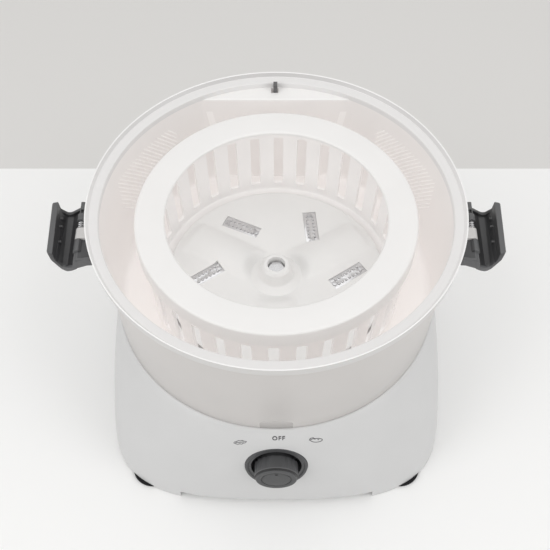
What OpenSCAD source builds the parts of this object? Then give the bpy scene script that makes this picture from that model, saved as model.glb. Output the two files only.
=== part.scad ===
// Electric potato peeler and salad spinner, with its lid taken off.
// Millimetres, +Z up. The origin is on the counter, under the bowl's axis. The knob faces -Y.

/* [Bowl] */
// Outer radius of the rim
rim_r = 118; // [112:1:126]
// Height of the rim's top edge above the counter
rim_top_z = 176; // [172:1:184]
// Height of the rim's outer face
rim_h = 7; // [5:0.5:9]
// Radial width of the sloped lip, from the outer edge to the ledge
lip_w = 4.4; // [3:0.2:6]
// Depth of the ledge below the rim's top edge
ledge_drop = 2.6; // [1.5:0.1:4]
// Radial width of the ledge that carries the lid
ledge_w = 4.2; // [3:0.2:6]
// Wall of the bowl
bowl_wall = 2.2; // [1.8:0.1:3]
// Distance from the rim's outer edge in to the bowl's wall where it enters the base
bowl_taper = 12.1; // [11.5:0.1:16]
// Height of the bowl's floor above the deck that it stands on
floor_rise = 13; // [12:0.5:15]
// Depth of the shelf at the back below the rim's top edge
shelf_drop = 7; // [6:0.5:9]
// Distance from the rim's outer edge in to the front of the shelf
shelf_in = 22; // [21:0.5:24]

/* [Basket and disc] */
// Outer radius of the basket at its foot
basket_low_r = 81.5; // [79:0.5:83]
// How much wider the basket is at its top, in radius
basket_flare = 4.8; // [3:0.2:6]
// Wall of the basket
basket_wall = 2; // [1.6:0.1:2.6]
// Height of the ring on the bowl's floor that carries the basket
basket_rise = 4; // [3:0.5:6]
// Windows round the basket
window_count = 32; // [24:1:36]
// Turn of the windows from the knob's direction, in degrees
window_turn = -1; // [-5:0.5:5]
// Width of a window
window_w = 6.5; // [5:0.5:8]
// Wall left below the windows
window_sill = 8; // [6:0.5:12]
// Wall left above the windows
window_head = 17; // [14:0.5:22]
// Depth of the collar's top below the rim's top edge
collar_drop = 9.6; // [8:0.1:12]
// Thickness of the collar
collar_t = 2.5; // [2:0.1:3]
// Height of the collar's skirt
collar_h = 12.8; // [10:0.2:15]
// Radius of the opening in the collar
collar_hole_r = 69; // [64:0.5:72]
// Gap between the disc and the foot of the basket
disc_gap = 0.7; // [0.5:0.1:1.5]
// Thickness of the disc
disc_t = 2.5; // [2:0.1:3.5]
// Humps that toss the potatoes
hump_count = 3; // [2:1:4]

/* [Latches] */
// Distance of a latch's pin outside the rim
latch_pin_out = 6; // [5:0.5:9]
// Depth of the pin below the rim's top edge
latch_pin_drop = 27; // [25:0.5:30]
// Radius of the pin
latch_pin_r = 1.5; // [1.2:0.1:2]
// Length of a latch along its pin
latch_len = 48; // [40:1:56]
// Reach of an open latch beyond its pin
latch_reach = 20.5; // [18:0.5:24]
// Wall of a latch
latch_wall = 2.2; // [1.8:0.1:2.8]
// Width of the lug that carries the pin
lug_w = 15; // [12:0.5:18]

/* [Base] */
// Height of the base's top edge above the counter
base_top_z = 85.5; // [83:0.5:87]
// Gap round the bowl in the base's opening
bowl_gap = 0.5; // [0.3:0.1:1]
// Width of the base's top edge
edge_w = 2.4; // [2:0.1:3]
// How far the base's sides stay inside the rim, at its foot
base_side_in = 2; // [0:0.5:5]
// How far the base's front and back stand outside the rim, at its foot
base_front_out = 1.4; // [0:0.1:3]
// Squareness of the sides at the foot; 2 is an ellipse
side_power = 2.8; // [2.4:0.1:3.4]
// Squareness of the front and back at the foot; 2 is an ellipse
front_power = 5; // [4:0.1:6]
// Wall of the base shell
shell_wall = 2.6; // [2.2:0.1:3.2]
// Gap between the shell and the counter
shell_lift = 3.5; // [3:0.5:5]
// Thickness of the bottom cover
plate_t = 3; // [2.5:0.5:4]
// Depth of the deck below the base's top edge
deck_drop = 6.5; // [5.5:0.5:8]
// Thickness of the deck
deck_t = 3; // [2.5:0.5:3.5]
// Radius of a foot
foot_r = 16; // [13:0.5:17]
// Distance of the feet's middles in from the sides of the base
foot_in_x = 34; // [32:0.5:38]
// Distance of the feet's middles in from the front and back of the base
foot_in_y = 27.4; // [25.4:0.5:31]

/* [Knob] */
// Height of the knob's axis above the counter
knob_z = 52.3; // [48:0.1:54]
// Radius of the knob
knob_r = 14; // [12:0.5:15]
// Reach of the knob in front of the base's foot
knob_reach = 6; // [4:0.1:8]
// Outer radius of the bezel
bezel_r = 20.4; // [19.5:0.1:22]
// Lean of the front face where the bezel sits
face_lean = 8.5; // [7:0.5:10]
// Flutes round the knob
flute_count = 20; // [12:1:28]

/* [Drive] */
// Radius of the output shaft and the spindle
shaft_r = 4; // [3.5:0.1:4.5]
// Teeth of the output gear
output_teeth = 56; // [48:1:60]
// Teeth of the small gear on the idler
idler_small_teeth = 14; // [13:1:16]
// Teeth of the large gear on the idler
idler_large_teeth = 48; // [40:1:52]
// Teeth of the motor pinion
pinion_teeth = 12; // [12:1:14]
// Module of the output stage
output_module = 1; // [0.9:0.05:1.05]
// Module of the motor stage
motor_module = 0.8; // [0.7:0.05:0.9]
// Direction from the output shaft to the idler, in degrees from +X
idler_turn = 31; // [20:1:40]
// Height of the output gear
gear_t = 6; // [5:0.5:7]
// Radius of the motor
motor_r = 19; // [17:0.5:20]
// Length of the motor's can
motor_h = 30; // [26:1:32]

/* [Interlock] */
// Distance from the rim's outer edge in to the push rod
rod_in = 16.5; // [16.3:0.1:17]
// Radius of the push rod
rod_r = 1.6; // [1.3:0.1:1.7]
// Travel of the push rod
rod_travel = 3; // [2:0.5:3.5]

/* [Hidden] */

$fn = 96;

// Clearances
run_gap = 0.05;
seat_gap = 0.3;
slide_gap = 0.35;
cut = 1;

// Bowl
bowl_low_r = rim_r - bowl_taper;
shelf_y = rim_r - shelf_in;
ledge_z = rim_top_z - ledge_drop;
rim_hollow = 2.4;
rim_skin = 2.2;
rim_low_z = rim_top_z - rim_h;
ledge_outer_r = rim_r - lip_w;
bowl_in_top_r = ledge_outer_r - ledge_w;
bowl_top_r = bowl_in_top_r + bowl_wall;
deck_z = base_top_z - deck_drop;
deck_low_z = deck_z - deck_t;
bowl_floor_z = deck_z + floor_rise;
bowl_slope = (bowl_top_r - bowl_low_r) / (rim_low_z - base_top_z);
function bowl_outer_r(z) = bowl_low_r + (z - base_top_z) * bowl_slope;
function bowl_inner_r(z) = bowl_outer_r(z) - bowl_wall;
shelf_z = rim_top_z - shelf_drop;
shelf_t = 2;
shelf_wall = 1.6;
sleeve_r = 10.5;
floor_round = 6;
sleeve_h = 5;
bush_r = 6.5;

// Drive line
bearing_r = 11;
bearing_t = 7;
bearing_lip = 1.5;
boss_wall = 2.5;
lid_t = 3;
lid_gap = 1.5;
case_floor_t = 3;
case_wall = 2.5;
gear_gap = 1;
lid_low_z = deck_low_z - lid_gap - lid_t;
boss_top_z = lid_low_z + bearing_t + bearing_lip;
boss_r = bearing_r + boss_wall;
output_gear_z = lid_low_z - gear_gap - gear_t;
idler_large_t = gear_t - 0.5;
idler_large_z = output_gear_z - idler_large_t - 0.5;
case_floor_z = idler_large_z - 1.5;
case_low_z = case_floor_z - case_floor_t;
lower_bearing_z = case_floor_z - bearing_t;
seal_r = 7;
seal_t = 2;
dog_z = boss_top_z + 0.8;
dog_h = 6.2;
dog_r = 7;
socket_wall = 3.5;
socket_top_t = 2;
socket_z = dog_z + 0.4;
socket_h = dog_h + socket_top_t;
spindle_z = dog_z + dog_h + 0.2;
spindle_seal_t = 1;
spindle_hex_z = bowl_floor_z + sleeve_h + spindle_seal_t;
pressure = 25;
backlash = 0.12;
output_centre = (output_teeth + idler_small_teeth) * output_module / 2;
motor_centre = (idler_large_teeth + pinion_teeth) * motor_module / 2;
motor_turn = idler_turn + 90;
idler_x = output_centre * cos(idler_turn);
idler_y = output_centre * sin(idler_turn);
motor_x = idler_x + motor_centre * cos(motor_turn);
motor_y = idler_y + motor_centre * sin(motor_turn);
idler_pin_r = 3;
motor_shaft_r = 1.6;
case_x = 12;
case_y = 8;
case_r = 44;
case_ear_r = 5;
case_ear_h = 10;
gear_rim_w = 5;
gear_hub_r = 12;
gear_web_cut = 1.5;
case_ears = [45, 160, 230, 330];

// Motor
can_wall = 1.5;
can_top_z = case_low_z;
can_low_z = can_top_z - motor_h;
cap_t = 5;
fan_r = motor_r - 2;
fan_t = 6;
fan_z = can_low_z - cap_t - fan_t - 1;
motor_screw_pitch = 11;

// Basket and disc
basket_top_r = basket_low_r + basket_flare;
basket_z = bowl_floor_z + basket_rise;
basket_floor_t = 2.2;
collar_top_z = rim_top_z - collar_drop;
basket_top_z = collar_top_z - collar_t;
basket_foot_w = 8;
basket_hole_r = basket_low_r - basket_foot_w;
collar_skirt_t = 1.5;
collar_r = basket_top_r + seat_gap + collar_skirt_t;
disc_r = basket_hole_r - disc_gap;
disc_z = basket_z + basket_floor_t + 0.8;
hub_r = 13;
hub_h = 13;
spindle_hex_r = 5.4;
spindle_top_z = disc_z + disc_t + hub_h - 4;
blade_count = 6;
blade_len = 26;
blade_w = 9;
blade_t = 0.8;
blade_r = 48;
rivet_r = 1.3;

// Base
base_half_w = rim_r - base_side_in;
base_half_d = rim_r + base_front_out;
foot_x = base_half_w - foot_in_x;
foot_y = base_half_d - foot_in_y;
base_h = base_top_z - shell_lift;
opening_r = bowl_low_r + bowl_gap;
base_top_r = opening_r + edge_w;
power_rise = 1.17;
flare = 1.74;
plate_z = shell_lift + 1.5;
plate_gap = 0.5;
// share of the way down the base at the cover's top
plate_share = (base_top_z - plate_z - plate_t) / base_h;
foot_recess = 2;
foot_top_z = plate_z + foot_recess;
foot_cut_r = foot_r + 1.3;
foot_cut_z = 7.5;
skirt_cut_w = 131;
skirt_cut_h = 2;
deck_r = opening_r + 0.3;
ledge_in_r = opening_r - 5.4;
ledge_notch_d = 10;
rod_notch_w = 24;
ledge_t = 3;
post_r = 5;
post_pitch_r = opening_r - 12.4;
post_turn = 38;
screw_r = 1.5;
screw_head_r = 3;
screw_head_t = 2;
key_w = 20;
key_t = 3.4;
key_y = bowl_low_r - 3.5;
key_h = 10;

// Knob and switch
face_y = base_half_d - 4.3;
bezel_proud = 0.8;
bezel_back_y = base_half_d - 13.4;
knob_front = base_half_d + knob_reach;
bezel_back_t = 3;
bezel_flange_r = 26;
bezel_gap = 0.3;
recess_r = knob_r + 2.2;
knob_back_y = bezel_back_y + 1.2;
switch_w = 28;
switch_d = 24;
switch_shaft_r = 3;
switch_front_y = bezel_back_y - bezel_back_t;
gland_z = 27;
gland_r = 6;
gland_flange_r = 9;
gland_hole_r = 3.5;
gland_flange_t = 2.4;
gland_seat_y = base_half_d - 6;
gland_flange_y = base_half_d + 0.1;
// The gland reaches as far back as the knob reaches forward
gland_end_y = knob_front;
gland_in_y = gland_seat_y - seat_gap - gland_flange_t;

// Interlock
rod_y = rim_r - rod_in;
rod_low_z = deck_z + 1.3;
plunger_r = 1.6;
plunger_top_z = rod_low_z - seat_gap;
plunger_in = 2;
switch_top_z = deck_low_z - 1;
head_w = 4;
head_end_y = bowl_in_top_r - 1.5;
head_y = head_end_y - 3.9;
head_h = 4;
head_low_z = shelf_z - shelf_t - head_h - seat_gap;
spring_seat_z = shelf_z - 41;
spring_seat_t = 2;
spring_r = 2.7;
spring_wire_r = 0.35;
spring_turns = 8;
spring_h = 22;
flange_r = 3.2;
flange_t = 2;

// Places that repeat
function corners(x, y) = [[x, y], [-x, y], [-x, -y], [x, -y]];
function polar(r, a) = [r * cos(a), r * sin(a)];

// One point of the base's outline: the powers square an ellipse, and the angle is
// warped so that the points stay evenly spread.
function outline_point(a, half_w, half_d, side, front) =
    let (
        warp = (side + front) / 4,
        t = atan2(pow(abs(sin(a)), warp), pow(abs(cos(a)), warp))
    )
    [
        sign(cos(a)) * half_w * pow(cos(t), 2 / side),
        sign(sin(a)) * half_d * pow(sin(t), 2 / front)
    ];

// Outline of the base at a share of the way down, drawn in by an inset
function base_outline(share, inset, steps) =
    let (
        spread = 1 - pow(1 - share, flare),
        square_up = pow(share, power_rise),
        half_w = base_top_r + (base_half_w - base_top_r) * spread - inset,
        half_d = base_top_r + (base_half_d - base_top_r) * spread - inset,
        side = 2 + (side_power - 2) * square_up,
        front = 2 + (front_power - 2) * square_up
    )
    [for (i = [0 : steps - 1]) outline_point(360 * i / steps, half_w, half_d, side, front)];

// Solid between outlines that are stacked from the top down
module loft(outlines, heights) {
    steps = len(outlines[0]);
    rings = len(outlines);
    points = [
        for (k = [0 : rings - 1], p = outlines[k]) [p[0], p[1], heights[k]]
    ];
    sides = [
        for (k = [0 : rings - 2], i = [0 : steps - 1])
            let (j = (i + 1) % steps)
            each [
                [k * steps + i, k * steps + j, (k + 1) * steps + j],
                [k * steps + i, (k + 1) * steps + j, (k + 1) * steps + i]
            ]
    ];
    top = [for (i = [steps - 1 : -1 : 0]) i];
    bottom = [for (i = [0 : steps - 1]) (rings - 1) * steps + i];
    polyhedron(points, concat([top], sides, [bottom]), convexity = 6);
}

base_steps = 64;
base_rings = 8;

module base_solid(inset, above, below) {
    shares = [for (k = [0 : base_rings - 1]) k / (base_rings - 1)];
    inner = [for (s = shares) base_outline(s, inset, base_steps)];
    levels = [for (s = shares) base_top_z - s * base_h];
    loft(
        concat([inner[0]], inner, [inner[base_rings - 1]]),
        concat([base_top_z + above], levels, [shell_lift - below])
    );
}

module base_body() {
    shares = [for (k = [0 : base_rings - 1]) k / (base_rings - 1)];
    loft(
        [for (s = shares) base_outline(s, 0, base_steps)],
        [for (s = shares) base_top_z - s * base_h]
    );
}

module along_y(y0, y1, r) {
    translate([0, y0, 0]) rotate([-90, 0, 0]) cylinder(h = y1 - y0, r = r);
}

module tube(r_out, r_in, h) {
    difference() {
        cylinder(h = h, r = r_out);
        translate([0, 0, -cut]) cylinder(h = h + 2 * cut, r = r_in);
    }
}

// Screw with a flat head at z = 0, its shank going up
module screw(r, head_r, head_t, length) {
    translate([0, 0, -head_t]) cylinder(h = head_t, r = head_r, $fn = 32);
    cylinder(h = length, r = r, $fn = 32);
}

// Involute gear
function inv(a) = tan(a) - a * PI / 180;
function tooth_half(r, base_r, teeth, pitch_r) =
    let (a = acos(min(1, base_r / r)))
    90 / teeth - (backlash / 2 / pitch_r) * 180 / PI + (inv(pressure) - inv(a)) * 180 / PI;

module gear_outline(teeth, tooth_module) {
    pitch_r = teeth * tooth_module / 2;
    base_r = pitch_r * cos(pressure);
    tip_r = pitch_r + 0.9 * tooth_module;
    root_r = pitch_r - 1.15 * tooth_module;
    low_r = max(root_r, base_r);
    flank = [for (k = [0 : 4]) low_r + (tip_r - low_r) * k / 4];
    radii = low_r > root_r ? concat([root_r], flank) : flank;
    last = len(radii) - 1;
    points = [
        for (n = [0 : teeth - 1])
            let (mid = 360 * n / teeth)
            each concat(
                [for (r = radii) polar(r, mid - tooth_half(r, base_r, teeth, pitch_r))],
                [for (k = [last : -1 : 0])
                    polar(radii[k], mid + tooth_half(radii[k], base_r, teeth, pitch_r))]
            )
    ];
    polygon(points);
}

module gear(teeth, tooth_module, h, bore_r) {
    difference() {
        linear_extrude(height = h, convexity = 10) gear_outline(teeth, tooth_module);
        translate([0, 0, -cut]) cylinder(h = h + 2 * cut, r = bore_r);
    }
}

// ---- Base ----

module foot_places() {
    for (p = corners(foot_x, foot_y)) translate([p[0], p[1], 0]) children();
}

module post_places() {
    for (p = corners(post_pitch_r * cos(post_turn), post_pitch_r * sin(post_turn)))
        translate([p[0], p[1], 0]) children();
}

module gland_place() {
    translate([0, 0, gland_z]) children();
}

module knob_place() {
    translate([0, 0, knob_z]) children();
}

// Keeps what is under the deck
module below_deck() {
    intersection() {
        children();
        translate([-rim_r, -2 * rim_r, 0]) cube([2 * rim_r, 4 * rim_r, deck_low_z - 0.5]);
    }
}

module base_shell() {
    color("white") difference() {
        base_body();
        // hollow, less what stands in it
        difference() {
            base_solid(shell_wall, 2 * cut, 2 * cut);
            // ledge that carries the deck
            difference() {
                translate([0, 0, deck_low_z - ledge_t])
                    tube(rim_r + cut, ledge_in_r, ledge_t);
                translate([-bezel_flange_r - 2, -base_half_d - 2 * cut, 0])
                    cube([2 * bezel_flange_r + 4, base_half_d - ledge_in_r + ledge_notch_d, deck_z]);
                translate([-rod_notch_w / 2, ledge_in_r - ledge_notch_d, 0])
                    cube([rod_notch_w, rod_y + rod_notch_w / 4 - ledge_in_r + ledge_notch_d, deck_z]);
            }
            // seat of the bezel
            below_deck() knob_place() along_y(-base_half_d - cut, -bezel_back_y, bezel_flange_r);
            // seat of the cord gland
            gland_place() along_y(gland_seat_y, base_half_d + cut, gland_flange_r + 2);
        }
        knob_place() along_y(-base_half_d - cut, -bezel_back_y + cut, bezel_r + bezel_gap);
        gland_place() along_y(gland_in_y, base_half_d + cut, gland_r + run_gap);
        foot_places() translate([0, 0, -cut]) cylinder(h = foot_cut_z + cut, r = foot_cut_r);
        for (side = [-1, 1])
            translate([-skirt_cut_w / 2, side * base_half_d - 20, 0])
                cube([skirt_cut_w, 40, shell_lift + skirt_cut_h]);
        // screw holes of the deck
        for (a = deck_screw_turns)
            translate(concat(polar(deck_screw_r, a), [deck_low_z - ledge_t - cut]))
                cylinder(h = ledge_t + 2 * cut, r = screw_r + run_gap, $fn = 32);
    }
}

deck_screw_r = ledge_in_r + 3;
deck_screw_turns = [30, 150, 210, 330];
vent_count = 7;
vent_w = 3;
vent_len = 34;
vent_pitch = 7;

module base_cover() {
    color("gainsboro") difference() {
        union() {
            translate([0, 0, plate_z]) linear_extrude(height = plate_t)
                polygon(base_outline(plate_share, shell_wall + plate_gap, base_steps));
            // pegs that carry the circuit board
            for (x = [-board_w / 2 + 4, board_w / 2 - 4], y = [-board_d / 2 + 4, board_d / 2 - 4])
                translate([board_x + x, board_y + y, plate_z]) cylinder(h = board_z - plate_z, r = 3);
        }
        foot_places() translate([0, 0, plate_z - cut]) cylinder(h = foot_recess + cut, r = foot_r + run_gap);
        post_places() translate([0, 0, plate_z - cut])
            cylinder(h = plate_t + 2 * cut, r = screw_r + run_gap, $fn = 32);
        // air slots under the motor
        for (k = [0 : vent_count - 1])
            translate([motor_x - (vent_count - 1) * vent_pitch / 2 + k * vent_pitch - vent_w / 2,
                motor_y - vent_len / 2, plate_z - cut])
                cube([vent_w, vent_len, plate_t + 2 * cut]);
    }
}

module rubber_feet() {
    color("black") foot_places() {
        cylinder(h = foot_top_z, r = foot_r);
    }
}

module cover_screws() {
    color("silver") post_places() translate([0, 0, plate_z])
        screw(screw_r, screw_head_r, 1.4, 14);
}

module deck() {
    color("white") difference() {
        union() {
            translate([0, 0, deck_low_z]) cylinder(h = deck_t, r = deck_r);
            post_places() translate([0, 0, plate_z + plate_t])
                cylinder(h = deck_z - plate_z - plate_t - cut, r = post_r);
            // key that turns the bowl the right way round
            intersection() {
                translate([-key_w / 2, -key_y, deck_z - cut]) cube([key_w, key_t, key_h + cut]);
                translate([0, 0, deck_z - 4]) rotate([90, 0, 0]) cylinder(h = key_y + cut, r = key_h + 4);
            }
        }
        translate([0, 0, deck_low_z - cut]) cylinder(h = deck_t + 2 * cut, r = boss_r + seat_gap);
        translate([0, rod_y, deck_low_z - cut]) cylinder(h = deck_t + 2 * cut, r = plunger_r + 0.4);
        post_places() translate([0, 0, plate_z]) cylinder(h = 16, r = screw_r + run_gap, $fn = 32);
        for (a = deck_screw_turns)
            translate(concat(polar(deck_screw_r, a), [deck_low_z - cut]))
                cylinder(h = deck_t + 2 * cut, r = screw_r + run_gap, $fn = 32);
        case_ear_places() translate([0, 0, deck_low_z - cut])
            cylinder(h = deck_t + 2 * cut, r = screw_r + run_gap, $fn = 32);
    }
}

module deck_screws() {
    color("silver") {
        for (a = deck_screw_turns)
            translate(concat(polar(deck_screw_r, a), [deck_low_z - ledge_t]))
                screw(screw_r, screw_head_r - 0.4, 1.6, ledge_t + deck_t - 0.4);
    }
}

// ---- Knob and switch ----

module below_bezel_top() {
    intersection() {
        children();
        translate([-rim_r, -2 * rim_r, -knob_z]) cube([2 * rim_r, 4 * rim_r, deck_low_z - 0.5]);
    }
}

module knob_bezel() {
    color("dimgray") knob_place() difference() {
        union() {
            intersection() {
                along_y(-base_half_d - bezel_r, -bezel_back_y, bezel_r);
                // front of the bezel leans with the face of the base
                translate([0, -face_y - bezel_proud, 0]) rotate([-face_lean, 0, 0])
                    translate([-2 * bezel_r, 0, -3 * bezel_r])
                        cube([4 * bezel_r, 2 * bezel_r, 6 * bezel_r]);
            }
            below_bezel_top() along_y(-bezel_back_y, -switch_front_y, bezel_flange_r - 1);
        }
        along_y(-base_half_d - bezel_r - cut, -knob_back_y + 1, recess_r);
        // dished edge
        translate([0, -face_y - bezel_proud, 0]) rotate([-face_lean, 0, 0])
            translate([0, -4, 0]) rotate([-90, 0, 0])
                cylinder(h = 8, r1 = bezel_r + 1.2, r2 = recess_r - 1.4);
        along_y(-knob_back_y - cut, -switch_front_y + cut, switch_shaft_r + 0.4);
        for (x = [-switch_w / 2 - 4, switch_w / 2 + 4])
            translate([x, 0, 0]) along_y(-bezel_back_y - cut, -switch_front_y + cut, screw_r + run_gap);
    }
}

module bezel_screws() {
    color("silver") knob_place() for (x = [-switch_w / 2 - 4, switch_w / 2 + 4])
        translate([x, -switch_front_y + switch_ear_t, 0]) rotate([90, 0, 0])
            screw(screw_r, screw_head_r - 0.4, 1.6, bezel_back_t + switch_ear_t - 0.4);
}

switch_ear_t = 2;

module switch_body() {
    color("black") knob_place() difference() {
        union() {
            translate([-switch_w / 2, -switch_front_y, -switch_w / 2]) cube([switch_w, switch_d, switch_w]);
            translate([-switch_w / 2 - 8, -switch_front_y, -5]) cube([switch_w + 16, switch_ear_t, 10]);
            // terminals
            for (x = [-9, -3, 3, 9])
                translate([x - 1, -switch_front_y + switch_d, 4]) cube([2, 7, 0.8]);
        }
        along_y(-switch_front_y - cut, -switch_front_y + 14, switch_shaft_r + run_gap);
        for (x = [-switch_w / 2 - 4, switch_w / 2 + 4])
            translate([x, 0, 0])
                along_y(-bezel_back_y, -switch_front_y + switch_ear_t + cut, screw_r + run_gap);
    }
}

module switch_shaft() {
    color("silver") knob_place() difference() {
        along_y(-knob_front + 6, -switch_front_y + 13, switch_shaft_r);
        // flat that drives the knob
        translate([-5, -knob_front + 5, 2]) cube([10, 10, 5]);
    }
}

module knob() {
    color("dimgray") knob_place() difference() {
        union() {
            difference() {
                along_y(-knob_front, -knob_back_y, knob_r);
                for (k = [0 : flute_count - 1])
                    rotate([0, (k + 0.5) * 360 / flute_count, 0])
                        translate([0, 0, knob_r + 1.1])
                            along_y(-knob_front + 3, -knob_back_y + cut, 1.6, $fn = 24);
                // groove round the front
                translate([0, -knob_front - cut, 0]) rotate([-90, 0, 0])
                    tube(knob_r - 3.2, knob_r - 4, cut + 0.5);
            }
        }
        // pointer dimple
        translate([0, -knob_front, knob_r - 6]) sphere(r = 0.9, $fn = 24);
        // bore with a flat
        difference() {
            along_y(-knob_front + 6, -knob_back_y + cut, switch_shaft_r);
            translate([-5, -knob_front + 5, 2]) cube([10, 10, 5]);
        }
    }
}

module cord_gland() {
    // outer flange and inner collar hold the shell between them
    color("black") gland_place() rotate([-90, 0, 0]) rotate_extrude() polygon([
        [gland_hole_r, gland_in_y],
        [gland_flange_r, gland_in_y],
        [gland_flange_r, gland_in_y + gland_flange_t],
        [gland_r, gland_in_y + gland_flange_t],
        [gland_r, gland_flange_y],
        [gland_flange_r, gland_flange_y],
        [gland_flange_r, gland_flange_y + gland_flange_t - 0.8],
        [gland_flange_r - 0.8, gland_flange_y + gland_flange_t],
        [gland_r, gland_flange_y + gland_flange_t],
        [gland_r - 0.8, gland_end_y],
        [gland_hole_r, gland_end_y]
    ]);
}

// ---- Gears ----

module case_place() {
    translate([case_x, case_y, 0]) children();
}

module case_ear_places() {
    case_place() for (a = case_ears)
        translate(concat(polar(case_r + case_wall + 3, a), [0])) children();
}

module idler_place() {
    translate([idler_x, idler_y, 0]) children();
}

module motor_place() {
    translate([motor_x, motor_y, 0]) children();
}

module motor_screw_places() {
    motor_place() for (a = [motor_turn, motor_turn + 180])
        translate(concat(polar(motor_screw_pitch, a + 90), [0])) children();
}

module gear_case() {
    color("lightgray") difference() {
        union() {
            case_place() translate([0, 0, case_low_z])
                cylinder(h = lid_low_z - case_low_z, r = case_r + case_wall);
            case_ear_places() translate([0, 0, lid_low_z - case_ear_h])
                cylinder(h = case_ear_h, r = case_ear_r);
            translate([0, 0, lower_bearing_z - bearing_lip])
                cylinder(h = case_low_z - lower_bearing_z + bearing_lip + cut, r = boss_r);
        }
        difference() {
            case_place() translate([0, 0, case_floor_z])
                cylinder(h = lid_low_z - case_floor_z + cut, r = case_r);
            idler_place() translate([0, 0, case_low_z])
                cylinder(h = case_floor_t + 1, r = idler_pin_r + 3);
        }
        translate([0, 0, lower_bearing_z]) cylinder(h = bearing_t + cut, r = bearing_r);
        translate([0, 0, lower_bearing_z - bearing_lip - cut])
            cylinder(h = bearing_lip + 2 * cut, r = shaft_r + 1);
        idler_place() translate([0, 0, case_low_z + 1]) cylinder(h = case_floor_t + 2, r = idler_pin_r);
        motor_place() translate([0, 0, case_low_z - cut]) cylinder(h = case_floor_t + 2 * cut, r = 5);
        motor_screw_places() translate([0, 0, case_low_z - cut])
            cylinder(h = case_floor_t + 2 * cut, r = screw_r + run_gap, $fn = 32);
        motor_screw_places() translate([0, 0, case_low_z + 1.2])
            cylinder(h = case_floor_t, r = screw_head_r, $fn = 32);
        case_ear_places() translate([0, 0, lid_low_z - case_ear_h - cut])
            cylinder(h = case_ear_h + 2 * cut, r = screw_r + run_gap, $fn = 32);
    }
}

module gear_lid() {
    color("lightgray") difference() {
        union() {
            case_place() translate([0, 0, lid_low_z]) cylinder(h = lid_t, r = case_r + case_wall);
            case_ear_places() translate([0, 0, lid_low_z]) cylinder(h = lid_t + lid_gap, r = case_ear_r);
            translate([0, 0, lid_low_z]) cylinder(h = boss_top_z - lid_low_z, r = boss_r);
        }
        translate([0, 0, lid_low_z - cut]) cylinder(h = bearing_t + cut, r = bearing_r);
        translate([0, 0, lid_low_z]) cylinder(h = boss_top_z - lid_low_z + cut, r = seal_r);
        idler_place() translate([0, 0, lid_low_z - cut]) cylinder(h = cut + 2, r = idler_pin_r);
        case_ear_places() translate([0, 0, lid_low_z - cut])
            cylinder(h = lid_t + lid_gap + 2 * cut, r = screw_r + run_gap, $fn = 32);
    }
}

module gear_lid_screws() {
    color("silver") case_ear_places() translate([0, 0, lid_low_z - case_ear_h])
        screw(screw_r, screw_head_r, screw_head_t, case_ear_h + lid_t + lid_gap + deck_t - 0.5);
}

module ball_bearing(z) {
    translate([0, 0, z]) {
        tube(bearing_r, bearing_r - 2, bearing_t);
        tube(shaft_r + 2, shaft_r + run_gap, bearing_t);
        translate([0, 0, 1]) tube(bearing_r - 2, shaft_r + 2, bearing_t - 2);
    }
}

module lower_bearing() {
    color("silver") ball_bearing(lower_bearing_z);
}

module upper_bearing() {
    color("silver") ball_bearing(lid_low_z);
}

module shaft_seal() {
    color("dimgray") translate([0, 0, boss_top_z - bearing_lip])
        tube(seal_r, shaft_r + run_gap, seal_t);
}

module output_shaft() {
    color("silver") translate([0, 0, lower_bearing_z]) {
        cylinder(h = dog_z + dog_h - lower_bearing_z - 1, r = shaft_r);
        // shoulder that the gear sits on
        translate([0, 0, bearing_t])
            cylinder(h = output_gear_z - lower_bearing_z - bearing_t, r = shaft_r + 2);
    }
}

module output_gear() {
    color("ivory") translate([0, 0, output_gear_z]) rotate(idler_turn) difference() {
        union() {
            gear(output_teeth, output_module, gear_t, shaft_r);
        }
        // web between the hub and the rim
        for (z = [-cut, gear_t - gear_web_cut])
            translate([0, 0, z])
                tube(output_teeth * output_module / 2 - gear_rim_w, gear_hub_r, gear_web_cut + cut);
    }
}

module drive_dog() {
    color("dimgray") translate([0, 0, dog_z]) difference() {
        cylinder(h = dog_h, r = dog_r, $fn = 6);
        translate([0, 0, -cut]) cylinder(h = dog_h, r = shaft_r);
    }
}

module idler_pin() {
    color("silver") idler_place() translate([0, 0, case_low_z + 1])
        cylinder(h = lid_low_z + 2 - case_low_z - 1, r = idler_pin_r);
}

module idler_gear() {
    small_h = lid_low_z - 0.7 - idler_large_z - idler_large_t;
    color("ivory") idler_place() translate([0, 0, idler_large_z]) difference() {
        union() {
            rotate(motor_turn)
                linear_extrude(height = idler_large_t, convexity = 10)
                    gear_outline(idler_large_teeth, motor_module);
            translate([0, 0, idler_large_t - cut])
                rotate(idler_turn + 180 + 180 / idler_small_teeth)
                    linear_extrude(height = small_h + cut, convexity = 10)
                        gear_outline(idler_small_teeth, output_module);
        }
        translate([0, 0, -cut])
            cylinder(h = idler_large_t + small_h + 2 * cut, r = idler_pin_r + run_gap);
    }
}

// ---- Motor ----

module motor_can() {
    color("silver") motor_place() translate([0, 0, can_low_z]) difference() {
        cylinder(h = motor_h, r = motor_r);
        translate([0, 0, -cut]) cylinder(h = motor_h - can_wall + cut, r = motor_r - can_wall);
        cylinder(h = motor_h + cut, r = 4);
        for (a = [motor_turn, motor_turn + 180])
            translate(concat(polar(motor_screw_pitch, a + 90), [0]))
                cylinder(h = motor_h + cut, r = screw_r + run_gap, $fn = 32);
    }
}

module motor_end_cap() {
    color("black") motor_place() translate([0, 0, can_low_z - cap_t]) difference() {
        cylinder(h = cap_t, r = motor_r);
        translate([0, 0, 2]) cylinder(h = cap_t, r = motor_r - 4);
        translate([0, 0, -cut]) cylinder(h = cap_t + 2 * cut, r = motor_shaft_r + run_gap);
    }
}

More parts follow.
